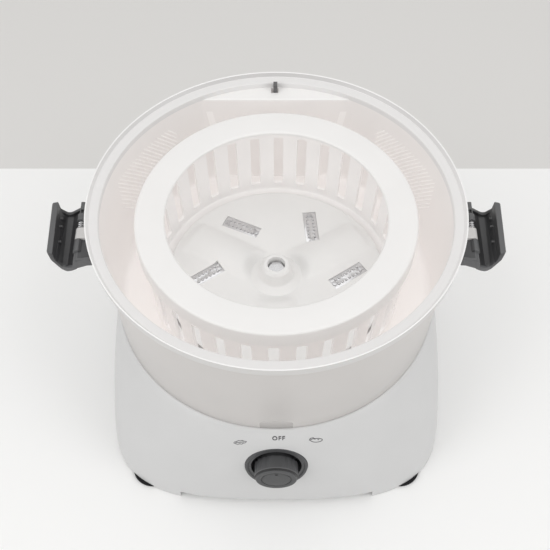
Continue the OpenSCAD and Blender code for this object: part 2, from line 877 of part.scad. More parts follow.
module motor_magnets() {
    color("darkslategray") motor_place() translate([0, 0, can_low_z + 3]) difference() {
        cylinder(h = motor_h - 8, r = motor_r - can_wall);
        translate([0, 0, -cut]) cylinder(h = motor_h, r = motor_r - can_wall - 3.5);
        for (a = [0, 90]) rotate(motor_turn) translate([-motor_r, -4, -cut]) cube([2 * motor_r, 8, motor_h]);
    }
}

module motor_brushes() {
    color("dimgray") motor_place() for (a = [0, 180])
        rotate(motor_turn + a) translate([commutator_r + 0.1, -2, can_low_z - 2]) cube([7, 4, 3]);
}

commutator_r = 5;
armature_r = motor_r - can_wall - 4.2;

module motor_screws() {
    color("silver") motor_screw_places() translate([0, 0, case_low_z + 1.2 + screw_head_t - 0.6])
        rotate([180, 0, 0]) translate([0, 0, 1.4]) screw(screw_r, screw_head_r - 0.2, 1.4, 4);
}

module motor_shaft() {
    color("silver") motor_place() translate([0, 0, fan_z])
        cylinder(h = idler_large_z + idler_large_t - fan_z, r = motor_shaft_r);
}

module armature() {
    color("peru") motor_place() {
        translate([0, 0, can_low_z + 5]) tube(armature_r, motor_shaft_r, motor_h - 13);
        translate([0, 0, can_low_z - 2.5]) tube(commutator_r, motor_shaft_r, 7.5);
    }
}

module motor_pinion() {
    color("gold") motor_place() translate([0, 0, idler_large_z - 0.8])
        rotate(motor_turn + 180 + 180 / pinion_teeth)
            gear(pinion_teeth, motor_module, idler_large_t + 1.2, motor_shaft_r);
}

module cooling_fan() {
    color("white") motor_place() translate([0, 0, fan_z]) difference() {
        union() {
            cylinder(h = fan_t, r = 4);
            cylinder(h = 1, r = fan_r);
            for (k = [0 : 7]) rotate(k * 45) translate([3, -0.6, 0]) cube([fan_r - 4, 1.2, fan_t]);
        }
        translate([0, 0, -cut]) cylinder(h = fan_t + 2 * cut, r = motor_shaft_r);
    }
}

// ---- Electrics ----

board_w = 56;
board_d = 38;
board_t = 1.6;
board_x = -50;
board_y = 22;
board_z = plate_z + plate_t + 8;

module circuit_board() {
    color("darkgreen") translate([board_x, board_y, board_z]) {
        translate([-board_w / 2, -board_d / 2, 0]) cube([board_w, board_d, board_t]);
        for (x = [-18, -10, -2]) translate([x, -12, board_t]) cube([5, 8, 3]);
        translate([8, -14, board_t]) cube([14, 11, 9]);
    }
}

module board_capacitor() {
    color("goldenrod") translate([board_x - 16, board_y + 4, board_z + board_t]) cube([22, 10, 14]);
}

module terminal_block() {
    color("seagreen") translate([board_x + 8, board_y + 6, board_z + board_t]) difference() {
        cube([18, 9, 11]);
        for (x = [4, 9, 14]) translate([x, 4.5, 6]) cylinder(h = 6, r = 1.6, $fn = 24);
    }
}

module interlock_switch() {
    color("black") translate([0, rod_y, switch_top_z]) difference() {
        translate([-10, -3.2, -11]) cube([20, 6.4, 11 + 1]);
        translate([0, 0, -plunger_in - rod_travel - 0.5])
            cylinder(h = plunger_in + rod_travel + 3, r = plunger_r + run_gap);
    }
}

module interlock_plunger() {
    color("red") translate([0, rod_y, switch_top_z - plunger_in])
        cylinder(h = plunger_top_z - switch_top_z + plunger_in, r = plunger_r);
}

// ---- Bowl ----

module bowl_core() {
    rotate_extrude(convexity = 6) polygon([
        [0, deck_z],
        [bowl_outer_r(deck_z), deck_z],
        [bowl_top_r, rim_low_z],
        [bowl_top_r, shelf_z],
        [0, shelf_z]
    ]);
}

module bowl_shape() {
    rotate_extrude(convexity = 6) polygon([
        [bush_r, bowl_floor_z - bowl_wall],
        [bowl_inner_r(bowl_floor_z - bowl_wall), bowl_floor_z - bowl_wall],
        [bowl_inner_r(deck_z), deck_z],
        [bowl_outer_r(deck_z), deck_z],
        [bowl_top_r, rim_low_z],
        [bowl_top_r, rim_low_z + rim_hollow],
        [rim_r - rim_skin, rim_low_z + rim_hollow],
        [rim_r - rim_skin, rim_low_z],
        [rim_r - 1, rim_low_z],
        [rim_r - 0.4, rim_low_z + 0.6],
        [rim_r, rim_top_z - 1],
        [rim_r - 1, rim_top_z],
        [ledge_outer_r, ledge_z],
        [bowl_in_top_r, ledge_z],
        [bowl_inner_r(rim_low_z), rim_low_z],
        [bowl_inner_r(bowl_floor_z + floor_round), bowl_floor_z + floor_round],
        [bowl_inner_r(bowl_floor_z) - floor_round, bowl_floor_z],
        [basket_low_r, bowl_floor_z],
        [basket_low_r, basket_z],
        [basket_hole_r, basket_z],
        [basket_hole_r, bowl_floor_z],
        [sleeve_r, bowl_floor_z],
        [sleeve_r, bowl_floor_z + sleeve_h],
        [bush_r, bowl_floor_z + sleeve_h]
    ]);
}

module bowl() {
    color("whitesmoke") difference() {
        union() {
            bowl_shape();
            intersection() {
                bowl_core();
                union() {
                    // shelf at the back, and the wall under it that hides the push rod
                    translate([-rim_r, shelf_y, shelf_z - shelf_t]) cube([2 * rim_r, 30, shelf_t]);
                    translate([-rim_r, shelf_y, bowl_floor_z - cut])
                        cube([2 * rim_r, shelf_wall, shelf_z - bowl_floor_z + cut]);
                    // seat of the spring
                    translate([-6, shelf_y, spring_seat_z]) cube([12, 30, spring_seat_t]);
                }
            }
            for (side = [-1, 1]) latch_lug(side);
        }
        // way of the push rod
        translate([0, rod_y, bowl_floor_z - bowl_wall - cut])
            cylinder(h = bowl_wall + floor_round + 2 * cut, r = rod_r + slide_gap);
        translate([0, rod_y, spring_seat_z - cut])
            cylinder(h = spring_seat_t + 2 * cut, r = rod_r + slide_gap);
        translate([-head_w / 2 - slide_gap, head_y - slide_gap, shelf_z - shelf_t - cut])
            cube([
                head_w + 2 * slide_gap,
                head_end_y - head_y + 2 * slide_gap,
                ledge_z - shelf_z + shelf_t + 2 * cut
            ]);
    }
}

latch_pin_x = rim_r + latch_pin_out;
latch_pin_z = rim_top_z - latch_pin_drop;
latch_fit = 0.06;
knuckle_r = latch_pin_r + 2.4;

module latch_place(side) {
    translate([side * latch_pin_x, 0, latch_pin_z]) children();
}

module along_y_mid(length, r) {
    along_y(-length / 2, length / 2, r);
}

// Lug on the side of the bowl, with the barrel that holds the latch's pin
module latch_lug(side) {
    reach = latch_pin_x - bowl_outer_r(latch_pin_z) + bowl_wall / 2;
    latch_place(side) mirror([side < 0 ? 1 : 0, 0, 0]) difference() {
        union() {
            along_y_mid(lug_w, knuckle_r);
            translate([0, lug_w / 2, 0]) rotate([90, 0, 0]) linear_extrude(height = lug_w) polygon([
                [-0.5, knuckle_r],
                [-0.5, -knuckle_r],
                [-knuckle_r, -knuckle_r],
                [-reach, -knuckle_r - reach / 2],
                [-reach, knuckle_r]
            ]);
        }
        along_y_mid(lug_w + 2 * cut, latch_pin_r);
    }
}

module bowl_bush() {
    color("gold") translate([0, 0, bowl_floor_z - bowl_wall])
        tube(bush_r, shaft_r + run_gap, bowl_wall + sleeve_h);
}

module spindle_seal() {
    color("dimgray") translate([0, 0, bowl_floor_z + sleeve_h])
        tube(sleeve_r - 1, shaft_r + run_gap, spindle_seal_t);
}

module spindle() {
    color("silver") {
        translate([0, 0, spindle_z]) cylinder(h = spindle_hex_z - spindle_z + cut, r = shaft_r);
        translate([0, 0, spindle_hex_z])
            cylinder(h = spindle_top_z - spindle_hex_z, r = spindle_hex_r, $fn = 6);
    }
}

module spindle_socket() {
    color("dimgray") translate([0, 0, socket_z]) difference() {
        cylinder(h = socket_h, r = dog_r + socket_wall);
        translate([0, 0, -cut])
            cylinder(h = spindle_z - socket_z + cut, r = dog_r + slide_gap, $fn = 6);
        cylinder(h = socket_h + cut, r = shaft_r);
    }
}

// ---- Interlock rod ----

module interlock_rod() {
    color("dimgray") {
        translate([0, rod_y, rod_low_z]) cylinder(h = head_low_z + head_h - rod_low_z, r = rod_r);
        translate([0, rod_y, spring_seat_z + spring_seat_t + spring_h])
            cylinder(h = flange_t, r = flange_r);
        translate([-head_w / 2, rod_y - rod_r, head_low_z])
            cube([head_w, head_end_y - rod_y + rod_r, head_h]);
        translate([-head_w / 2, head_y, head_low_z])
            cube([head_w, head_end_y - head_y, ledge_z - head_low_z - 0.2]);
    }
}

// Coil of round wire
module coil(r, wire_r, turns, h) {
    ring = 6;
    steps = turns * 14;
    points = [
        for (i = [0 : steps], j = [0 : ring - 1])
            let (
                a = 360 * turns * i / steps,
                b = 360 * j / ring,
                rr = r + wire_r * cos(b)
            )
            [rr * cos(a), rr * sin(a), wire_r + (h - 2 * wire_r) * i / steps + wire_r * sin(b)]
    ];
    sides = [
        for (i = [0 : steps - 1], j = [0 : ring - 1])
            let (k = (j + 1) % ring)
            each [
                [i * ring + j, (i + 1) * ring + j, (i + 1) * ring + k],
                [i * ring + j, (i + 1) * ring + k, i * ring + k]
            ]
    ];
    start = [for (j = [0 : ring - 1]) j];
    end = [for (j = [ring - 1 : -1 : 0]) steps * ring + j];
    polyhedron(points, concat([start], sides, [end]), convexity = 10);
}

module rod_spring() {
    color("silver") translate([0, rod_y, spring_seat_z + spring_seat_t + 0.02])
        coil(spring_r, spring_wire_r, spring_turns, spring_h - 0.04);
}

// ---- Latches ----

latch_lip_up = 4.5;
latch_dip = 12;
latch_open_up = 0.5;

// Section of an open latch, seen along its pin: x grows away from the bowl
function latch_outside() = [
    [-0.6, -1.5],
    [0.6, -7.2],
    [latch_reach * 0.36, -latch_dip],
    [latch_reach * 0.62, -latch_dip + 1.2],
    [latch_reach * 0.9, -3.2],
    [latch_reach, latch_lip_up - 1.6],
    [latch_reach - 1.2, latch_lip_up]
];

function latch_top() = [
    [latch_reach - 3.2, latch_lip_up],
    [latch_reach * 0.66, -3.6],
    [latch_reach * 0.45, -5.2],
    [3.2, -2.8],
    [2, latch_open_up]
];

module latch(side) {
    latch_place(side) mirror([side < 0 ? 1 : 0, 0, 0]) difference() {
        union() {
            difference() {
                intersection() {
                    translate([0, latch_len / 2, 0]) rotate([90, 0, 0])
                        linear_extrude(height = latch_len, convexity = 4)
                            polygon(concat(latch_outside(), latch_top(), [[-0.6, latch_open_up]]));
                    // ends draw in towards the lip
                    linear_extrude(height = 60, center = true) polygon([
                        [-4, -latch_len / 2], [4, -latch_len / 2], [latch_reach, -latch_len / 2 + 4.5],
                        [latch_reach + 1, -latch_len / 2 + 7], [latch_reach + 1, latch_len / 2 - 7],
                        [latch_reach, latch_len / 2 - 4.5], [4, latch_len / 2], [-4, latch_len / 2]
                    ]);
                }
                // hollow
                intersection() {
                    translate([0, latch_len / 2, 0]) rotate([90, 0, 0])
                        linear_extrude(height = latch_len, convexity = 4) polygon([
                            [latch_wall - 0.2, 10],
                            [latch_wall + 0.4, -6.4],
                            [latch_reach * 0.38, -latch_dip + latch_wall],
                            [latch_reach * 0.6, -latch_dip + latch_wall + 0.9],
                            [latch_reach * 0.9 - latch_wall, -2.6],
                            [latch_reach - latch_wall - 0.6, 10]
                        ]);
                    linear_extrude(height = 60, center = true) polygon([
                        [-4, -latch_len / 2 + latch_wall], [4, -latch_len / 2 + latch_wall],
                        [latch_reach, -latch_len / 2 + 4.5 + latch_wall],
                        [latch_reach, latch_len / 2 - 4.5 - latch_wall],
                        [4, latch_len / 2 - latch_wall], [-4, latch_len / 2 - latch_wall]
                    ]);
                }
            }
            for (y = [-1, 1]) translate([0, y * (lug_w / 2 + slide_gap + knuckle_w / 2), 0])
                along_y_mid(knuckle_w, knuckle_r);
        }
        // room for the lug between the knuckles
        along_y_mid(lug_w + 2 * slide_gap, knuckle_r + 0.5);
        translate([-8, -lug_w / 2 - slide_gap, -8]) cube([8, lug_w + 2 * slide_gap, 16]);
        along_y_mid(latch_len, latch_pin_r + latch_fit);
    }
}

knuckle_w = 5;

module latch_left() {
    color("dimgray") latch(-1);
}

module latch_right() {
    color("dimgray") latch(1);
}

module latch_pin(side) {
    latch_place(side) along_y_mid(lug_w + 2 * (slide_gap + knuckle_w), latch_pin_r);
}

module latch_pin_left() {
    color("silver") latch_pin(-1);
}

module latch_pin_right() {
    color("silver") latch_pin(1);
}

// ---- Basket, collar and disc ----

module basket() {
    color("whitesmoke") difference() {
        rotate_extrude(convexity = 4) polygon([
            [basket_hole_r, basket_z],
            [basket_low_r, basket_z],
            [basket_top_r, basket_top_z],
            [basket_top_r - basket_wall, basket_top_z],
            [basket_low_r - basket_wall, basket_z + basket_floor_t],
            [basket_hole_r, basket_z + basket_floor_t]
        ]);
        for (k = [0 : window_count - 1])
            rotate(360 * k / window_count - 90 + window_turn)
                translate([basket_low_r - 5, -window_w / 2, basket_z + window_sill])
                    cube([12, window_w, basket_top_z - window_head - basket_z - window_sill]);
    }
}

module collar() {
    color("white") rotate_extrude(convexity = 4) polygon([
        [collar_hole_r, basket_top_z],
        [collar_hole_r + 2, basket_top_z],
        [basket_top_r + seat_gap, basket_top_z],
        [basket_top_r + seat_gap, collar_top_z - collar_h],
        [collar_r, collar_top_z - collar_h],
        [collar_r, collar_top_z - 1.2],
        [collar_r - 1.2, collar_top_z],
        [collar_hole_r + 1, collar_top_z],
        [collar_hole_r, collar_top_z - 1]
    ]);
}

module blade_places() {
    for (k = [0 : blade_count - 1])
        rotate(360 * k / blade_count) translate([blade_r, 0, disc_z + disc_t]) rotate(35) children();
}

module peeling_disc() {
    color("white") difference() {
        union() {
            translate([0, 0, disc_z]) cylinder(h = disc_t, r = disc_r);
            translate([0, 0, disc_z]) rotate_extrude() polygon([
                [0, 0],
                [hub_r + 5, 0],
                [hub_r + 5, disc_t],
                [hub_r - 1, disc_t + 3],
                [hub_r - 3, disc_t + hub_h - 2],
                [hub_r - 5, disc_t + hub_h],
                [0, disc_t + hub_h]
            ]);
            // humps that toss the potatoes
            for (k = [0 : hump_count - 1]) rotate(360 * (k + 0.25) / hump_count)
                intersection() {
                    translate([14, 0, disc_z + disc_t - 22]) rotate([0, 90, 0])
                        cylinder(h = disc_r - 18, r = 26);
                    translate([0, 0, disc_z]) cylinder(h = 8, r = disc_r - 3);
                }
        }
        translate([0, 0, disc_z - cut]) cylinder(h = spindle_top_z - disc_z + cut,
            r = spindle_hex_r + seat_gap, $fn = 6);
        blade_places() translate([-blade_len / 2 - 0.1, -blade_w / 2 - 0.1, -blade_t - 0.5])
            cube([blade_len + 0.2, blade_w + 0.2, 8]);
    }
}

module disc_blades() {
    color("silver") blade_places() translate([0, 0, -blade_t - 0.5]) difference() {
        union() {
            translate([-blade_len / 2, -blade_w / 2, 0]) cube([blade_len, blade_w, blade_t]);
            // rasp teeth
            for (x = [-9 : 3 : 9], y = [-2, 2])
                translate([x, y, 0]) cylinder(h = blade_t + 1.1, r1 = 1.1, r2 = 0.5, $fn = 16);
        }
        for (x = [-blade_len / 2 + 2, blade_len / 2 - 2])
            translate([x, 0, -cut]) cylinder(h = 4, r = rivet_r, $fn = 24);
    }
}

module blade_rivets() {
    color("silver") blade_places() for (x = [-blade_len / 2 + 2, blade_len / 2 - 2])
        translate([x, 0, -blade_t - 0.5]) {
            cylinder(h = blade_t, r = rivet_r, $fn = 24);
            translate([0, 0, blade_t]) cylinder(h = 0.5, r = rivet_r + 0.5, $fn = 24);
        }
}

base_shell();
base_cover();
rubber_feet();
cover_screws();
deck();
deck_screws();
knob_bezel();
bezel_screws();
switch_body();
switch_shaft();
knob();
cord_gland();
gear_case();
gear_lid();
gear_lid_screws();
lower_bearing();
upper_bearing();
shaft_seal();
output_shaft();
output_gear();
drive_dog();
idler_pin();
idler_gear();
motor_can();
motor_end_cap();
motor_magnets();
motor_brushes();
motor_screws();
motor_shaft();
armature();
motor_pinion();
cooling_fan();
circuit_board();
board_capacitor();
terminal_block();
interlock_switch();
interlock_plunger();
bowl();
bowl_bush();
spindle_seal();
spindle();
spindle_socket();
interlock_rod();
rod_spring();
latch_left();
latch_right();
latch_pin_left();
latch_pin_right();
basket();
collar();
peeling_disc();
disc_blades();
blade_rivets();
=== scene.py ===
import math
import bmesh
import bpy
from mathutils import Matrix, Vector


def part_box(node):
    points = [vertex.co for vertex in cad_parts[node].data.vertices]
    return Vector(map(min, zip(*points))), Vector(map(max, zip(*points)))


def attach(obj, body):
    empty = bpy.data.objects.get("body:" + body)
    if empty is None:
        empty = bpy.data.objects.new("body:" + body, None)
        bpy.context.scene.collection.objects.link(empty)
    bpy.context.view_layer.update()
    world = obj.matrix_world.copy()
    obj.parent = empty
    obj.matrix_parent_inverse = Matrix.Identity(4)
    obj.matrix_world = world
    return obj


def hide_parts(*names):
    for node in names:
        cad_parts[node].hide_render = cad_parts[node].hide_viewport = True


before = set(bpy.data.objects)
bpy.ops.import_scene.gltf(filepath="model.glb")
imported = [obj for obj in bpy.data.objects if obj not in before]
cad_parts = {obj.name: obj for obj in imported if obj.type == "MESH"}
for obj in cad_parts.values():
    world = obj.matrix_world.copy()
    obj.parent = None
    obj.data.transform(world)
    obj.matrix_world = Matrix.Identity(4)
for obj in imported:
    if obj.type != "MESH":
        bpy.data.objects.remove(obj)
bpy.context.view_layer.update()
mm = 0.001  # sizes below are millimetres, the scene is in metres
weld = 0.002 * mm


def boxOf(node):
    low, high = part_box(node)
    return low / mm, high / mm


bowlLow, bowlHigh = boxOf("bowl")
shellLow, shellHigh = boxOf("base_shell")
basketLow, basketHigh = boxOf("basket")
collarLow, collarHigh = boxOf("collar")
discLow, discHigh = boxOf("peeling_disc")
bezelHigh = boxOf("knob_bezel")[1]
knobLow, knobHigh = boxOf("knob")
latchHigh = boxOf("latch_right")[1]
rodHigh = boxOf("interlock_rod")[1]
springLow, springHigh = boxOf("rod_spring")
footLow, footHigh = boxOf("rubber_feet")
glandLow, glandHigh = boxOf("cord_gland")
pinLow, pinHigh = boxOf("latch_pin_right")


# helpers that model
def clearSelection():
    if bpy.context.object and bpy.context.object.mode != "OBJECT":
        bpy.ops.object.mode_set(mode="OBJECT")
    bpy.ops.object.select_all(action="DESELECT")


def activate(piece):
    clearSelection()
    piece.select_set(True)
    bpy.context.view_layer.objects.active = piece


def takeNew(name):
    piece = bpy.context.object
    piece.name = name
    piece.data.name = name
    bpy.ops.object.transform_apply(location=True, rotation=True, scale=True)
    return piece


def editAll(piece):
    activate(piece)
    bpy.ops.object.mode_set(mode="EDIT")
    bpy.ops.mesh.select_all(action="SELECT")


def closeMesh(piece, fillEnds):
    # welds the seam, caps open ends and turns the faces outwards
    editAll(piece)
    bpy.ops.mesh.remove_doubles(threshold=weld)
    if fillEnds:
        bpy.ops.mesh.select_mode(type="EDGE")
        bpy.ops.mesh.select_all(action="DESELECT")
        bpy.ops.mesh.select_non_manifold(extend=False)
        bpy.ops.mesh.edge_face_add()
        bpy.ops.mesh.select_mode(type="VERT")
    bpy.ops.mesh.select_all(action="SELECT")
    bpy.ops.mesh.normals_make_consistent(inside=False)
    bpy.ops.object.mode_set(mode="OBJECT")


def smooth(piece, angle=32):
    activate(piece)
    bpy.ops.object.shade_smooth_by_angle(angle=math.radians(angle))
    clearSelection()
    return piece


def rounded(corners, loop=True, arcSteps=4):
    # corners are (x, y, radius); a corner with a radius becomes an arc
    points = []
    for index, (x, y, radius) in enumerate(corners):
        atEnd = not loop and index in (0, len(corners) - 1)
        if radius == 0 or atEnd:
            points.append((x, y))
            continue
        here = Vector((x, y))
        back = (Vector(corners[index - 1][:2]) - here).normalized()
        ahead = (Vector(corners[(index + 1) % len(corners)][:2]) - here).normalized()
        half = back.angle(ahead) / 2
        start = here + back * (radius / math.tan(half))
        end = here + ahead * (radius / math.tan(half))
        centre = here + (back + ahead).normalized() * (radius / math.sin(half))
        for step in range(arcSteps + 1):
            spoke = start.lerp(end, step / arcSteps) - centre
            points.append(tuple(centre + spoke.normalized() * radius))
    return points


def lathe(name, profile, steps=192, loop=True):
    # profile is a list of (radius, height); a ring is extruded from point to point
    clearSelection()
    radius, height = profile[0]
    bpy.ops.mesh.primitive_circle_add(vertices=steps, radius=radius * mm, location=(0, 0, height * mm))
    piece = takeNew(name)
    editAll(piece)
    stops = profile[1:] + ([profile[0]] if loop else [])
    for nextRadius, nextHeight in stops:
        rise = (0, 0, (nextHeight - height) * mm)
        bpy.ops.mesh.extrude_region_move(TRANSFORM_OT_translate={"value": rise})
        spread = nextRadius / radius
        if abs(spread - 1) > 1e-7:
            bpy.ops.transform.resize(value=(spread, spread, 1), center_override=(0, 0, 0))
        radius = nextRadius
        height = nextHeight
    bpy.ops.object.mode_set(mode="OBJECT")
    closeMesh(piece, not loop)
    return piece


def prism(name, outline, depth):
    # outline lies in X and Y; it is raised by depth along Z
    clearSelection()
    bpy.ops.mesh.primitive_circle_add(vertices=len(outline), radius=mm, fill_type="NGON")
    piece = takeNew(name)
    for vertex, point in zip(piece.data.vertices, outline):
        vertex.co = Vector((point[0], point[1], 0)) * mm
    editAll(piece)
    bpy.ops.mesh.extrude_region_move(TRANSFORM_OT_translate={"value": (0, 0, depth * mm)})
    bpy.ops.object.mode_set(mode="OBJECT")
    closeMesh(piece, False)
    return piece


def block(name, low, high):
    clearSelection()
    low = Vector(low)
    high = Vector(high)
    bpy.ops.mesh.primitive_cube_add(size=1, location=(low + high) / 2 * mm, scale=(high - low) * mm)
    return takeNew(name)


def rod(name, start, end, radius, steps=64):
    clearSelection()
    start = Vector(start)
    end = Vector(end)
    turn = (end - start).to_track_quat("Z", "Y").to_euler()
    bpy.ops.mesh.primitive_cylinder_add(
        vertices=steps, radius=radius * mm, depth=(end - start).length * mm,
        location=(start + end) / 2 * mm, rotation=turn)
    return takeNew(name)


def place(piece, turn=None, shift=(0, 0, 0)):
    matrix = Matrix.Translation(Vector(shift) * mm)
    if turn:
        matrix = matrix @ Matrix.Rotation(math.radians(turn[0]), 4, turn[1])
    piece.data.transform(matrix)
    piece.data.update()
    return piece


def copyOf(piece, name):
    copy = piece.copy()
    copy.data = piece.data.copy()
    copy.name = name
    copy.data.name = name
    bpy.context.scene.collection.objects.link(copy)
    return copy


def atSide(piece, side):
    # turns a piece made for the right side over to the left, with its faces outwards
    if side < 0:
        piece.data.transform(Matrix.Scale(-1, 4, (1, 0, 0)))
        piece.data.flip_normals()
    return piece


def joined(pieces, name):
    activate(pieces[0])
    for piece in pieces:
        piece.select_set(True)
    bpy.ops.object.join()
    pieces[0].name = name
    pieces[0].data.name = name
    clearSelection()
    return pieces[0]


def wireAlong(name, points, radius, resolution, closed=False):
    # a round wire through points, closed at its ends
    curve = bpy.data.curves.new(name, "CURVE")
    curve.dimensions = "3D"
    line = curve.splines.new("POLY")
    line.points.add(len(points) - 1)
    for point, spot in zip(line.points, points):
        point.co = (*(Vector(spot) * mm), 1)
    line.use_cyclic_u = closed
    curve.bevel_depth = radius * mm
    curve.bevel_resolution = resolution
    curve.use_fill_caps = True
    piece = bpy.data.objects.new(name, curve)
    bpy.context.scene.collection.objects.link(piece)
    activate(piece)
    bpy.ops.object.convert(target="MESH")
    piece = bpy.context.object
    closeMesh(piece, False)
    return piece


def coil(name, radius, wireR, turns, length):
    # a wound wire that stands on the origin, along Z
    stepsPerTurn = 28
    count = int(turns * stepsPerTurn) + 1
    points = []
    for index in range(count):
        angle = 2 * math.pi * index / stepsPerTurn
        rise = wireR + (length - 2 * wireR) * index / (count - 1)
        points.append((radius * math.cos(angle), radius * math.sin(angle), rise))
    return smooth(wireAlong(name, points, wireR, 2), 60)


def bevelWhere(piece, chosen, width, segments):
    # bevels the edges that chosen() picks by their two ends
    editAll(piece)
    bpy.ops.mesh.select_all(action="DESELECT")
    sheet = bmesh.from_edit_mesh(piece.data)
    for edge in sheet.edges:
        start, end = [vertex.co / mm for vertex in edge.verts]
        edge.select_set(chosen(start, end))
    bmesh.update_edit_mesh(piece.data)
    bpy.ops.mesh.bevel(offset=width * mm, segments=segments)
    bpy.ops.object.mode_set(mode="OBJECT")


def around(piece, count, offset):
    # copies of a piece round the Z axis, joined into one
    turns = [copyOf(piece, piece.name + "Turn") for index in range(count)]
    for index, copy in enumerate(turns):
        copy.data.transform(Matrix.Rotation(math.radians(360 * index / count + offset), 4, "Z"))
    bpy.data.objects.remove(piece)
    return joined(turns, "turns")


def combine(piece, tool, operation="DIFFERENCE"):
    activate(piece)
    modifier = piece.modifiers.new("combine", "BOOLEAN")
    modifier.object = tool
    modifier.operation = operation
    modifier.solver = "EXACT"
    bpy.ops.object.modifier_apply(modifier=modifier.name)
    bpy.data.objects.remove(tool)
    return piece


def softEdges(piece, width):
    activate(piece)
    modifier = piece.modifiers.new("softEdges", "BEVEL")
    modifier.width = width * mm
    modifier.segments = 2
    modifier.limit_method = "ANGLE"
    modifier.angle_limit = math.radians(35)
    bpy.ops.object.modifier_apply(modifier=modifier.name)
    return smooth(piece)


def dress(node, name, width):
    # a merged copy of a CAD node with its flat faces joined and its edges softened
    piece = copyOf(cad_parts[node], name)
    for key in list(piece.keys()):
        del piece[key]
    piece.parent = None
    editAll(piece)
    bpy.ops.mesh.customdata_custom_splitnormals_clear()
    bpy.ops.mesh.remove_doubles(threshold=weld)
    bpy.ops.mesh.dissolve_limited(angle_limit=math.radians(1.5))
    bpy.ops.mesh.normals_make_consistent(inside=False)
    bpy.ops.object.mode_set(mode="OBJECT")
    softEdges(piece, width)
    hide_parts(node)
    return piece


# helpers that build materials
class Wire:
    # an output socket; expressions on it add Math nodes

    def __init__(self, nodes, socket):
        self.nodes = nodes
        self.socket = socket

    def step(self, operation, first, second=0.0):
        return self.nodes.node("ShaderNodeMath", {"operation": operation}, {0: first, 1: second})

    def __add__(self, other):
        return self.step("ADD", self, other)

    def __radd__(self, other):
        return self.step("ADD", other, self)

    def __sub__(self, other):
        return self.step("SUBTRACT", self, other)

    def __rsub__(self, other):
        return self.step("SUBTRACT", other, self)

    def __mul__(self, other):
        return self.step("MULTIPLY", self, other)

    def __rmul__(self, other):
        return self.step("MULTIPLY", other, self)

    def __gt__(self, other):
        return self.step("GREATER_THAN", self, other)

    def __lt__(self, other):
        return self.step("LESS_THAN", self, other)

    def __abs__(self):
        return self.step("ABSOLUTE", self)

    def sine(self):
        return self.step("SINE", self)

    def root(self):
        return self.step("SQRT", self)

    def largerOf(self, other):
        return self.step("MAXIMUM", self, other)


class NodeSet:
    # the nodes of a material or of the world; node() adds any node with its settings and its sockets

    def __init__(self, tree):
        self.tree = tree
        self.tree.nodes.clear()

    def node(self, kind, settings=None, sockets=None, out=0):
        made = self.tree.nodes.new(kind)
        for key, value in (settings or {}).items():
            setattr(made, key, value)
        for key, value in (sockets or {}).items():
            if isinstance(value, Wire):
                self.tree.links.new(value.socket, made.inputs[key])
            elif isinstance(value, tuple) and len(value) == 3 and made.inputs[key].type == "RGBA":
                made.inputs[key].default_value = (*value, 1)
            else:
                made.inputs[key].default_value = value
        return None if out is None else Wire(self, made.outputs[out])


class Finish(NodeSet):
    # a material whose patterns read the piece's own place

    def __init__(self, name):
        self.material = bpy.data.materials.new(name)
        self.material.use_nodes = True
        super().__init__(self.material.node_tree)
        self.place = self.node("ShaderNodeTexCoord", out="Object")

    def noise(self, scale, detail, stretch=(1, 1, 1)):
        where = self.node("ShaderNodeMapping", None, {"Vector": self.place, "Scale": stretch})
        return self.node("ShaderNodeTexNoise", None, {"Vector": where, "Scale": scale, "Detail": detail})

    def mixColour(self, factor, first, second):
        return self.node("ShaderNodeMix", {"data_type": "RGBA"}, {0: factor, 6: first, 7: second}, out=2)

    def axes(self):
        return [self.node("ShaderNodeSeparateXYZ", None, {0: self.place}, out=axis) for axis in range(3)]

    def bump(self, height, distance):
        return self.node("ShaderNodeBump", None, {"Height": height, "Distance": distance * mm})

    def surface(self, sockets):
        shader = self.node("ShaderNodeBsdfPrincipled", None, sockets)
        self.node("ShaderNodeOutputMaterial", None, {"Surface": shader}, out=None)
        return self.material


class Plastic(Finish):
    # plastic from a fine-eroded mould: faint mottle, fine grain, uneven gloss

    def __init__(self, name):
        super().__init__(name)
        self.mottle = self.noise(mould["mottleScale"], 3)
        self.grain = self.noise(mould["grainScale"], 2)

    def mottled(self, colour, spread=0.03):
        return self.mixColour(self.mottle, shaded(colour, 1 - spread), shaded(colour, 1 + spread))

    def moulded(self, colour, roughness, grain=0.02, alpha=1.0):
        uneven = mould["uneven"]
        return self.surface({
            "Base Color": colour,
            "Roughness": roughness - uneven + self.mottle * uneven + self.grain * uneven,
            "Alpha": alpha,
            "Normal": self.bump(self.grain, grain),
        })


print("finishes")
mould = {"mottleScale": 35, "grainScale": 1400, "uneven": 0.06}


def shaded(colour, factor):
    return tuple(min(1, channel * factor) for channel in colour)


def mouldedPlastic(name, look):
    finish = Plastic(name)
    colour = finish.mottled(look["colour"])
    return finish.moulded(colour, look["roughness"], look.get("grain", 0.02), look.get("alpha", 1.0))


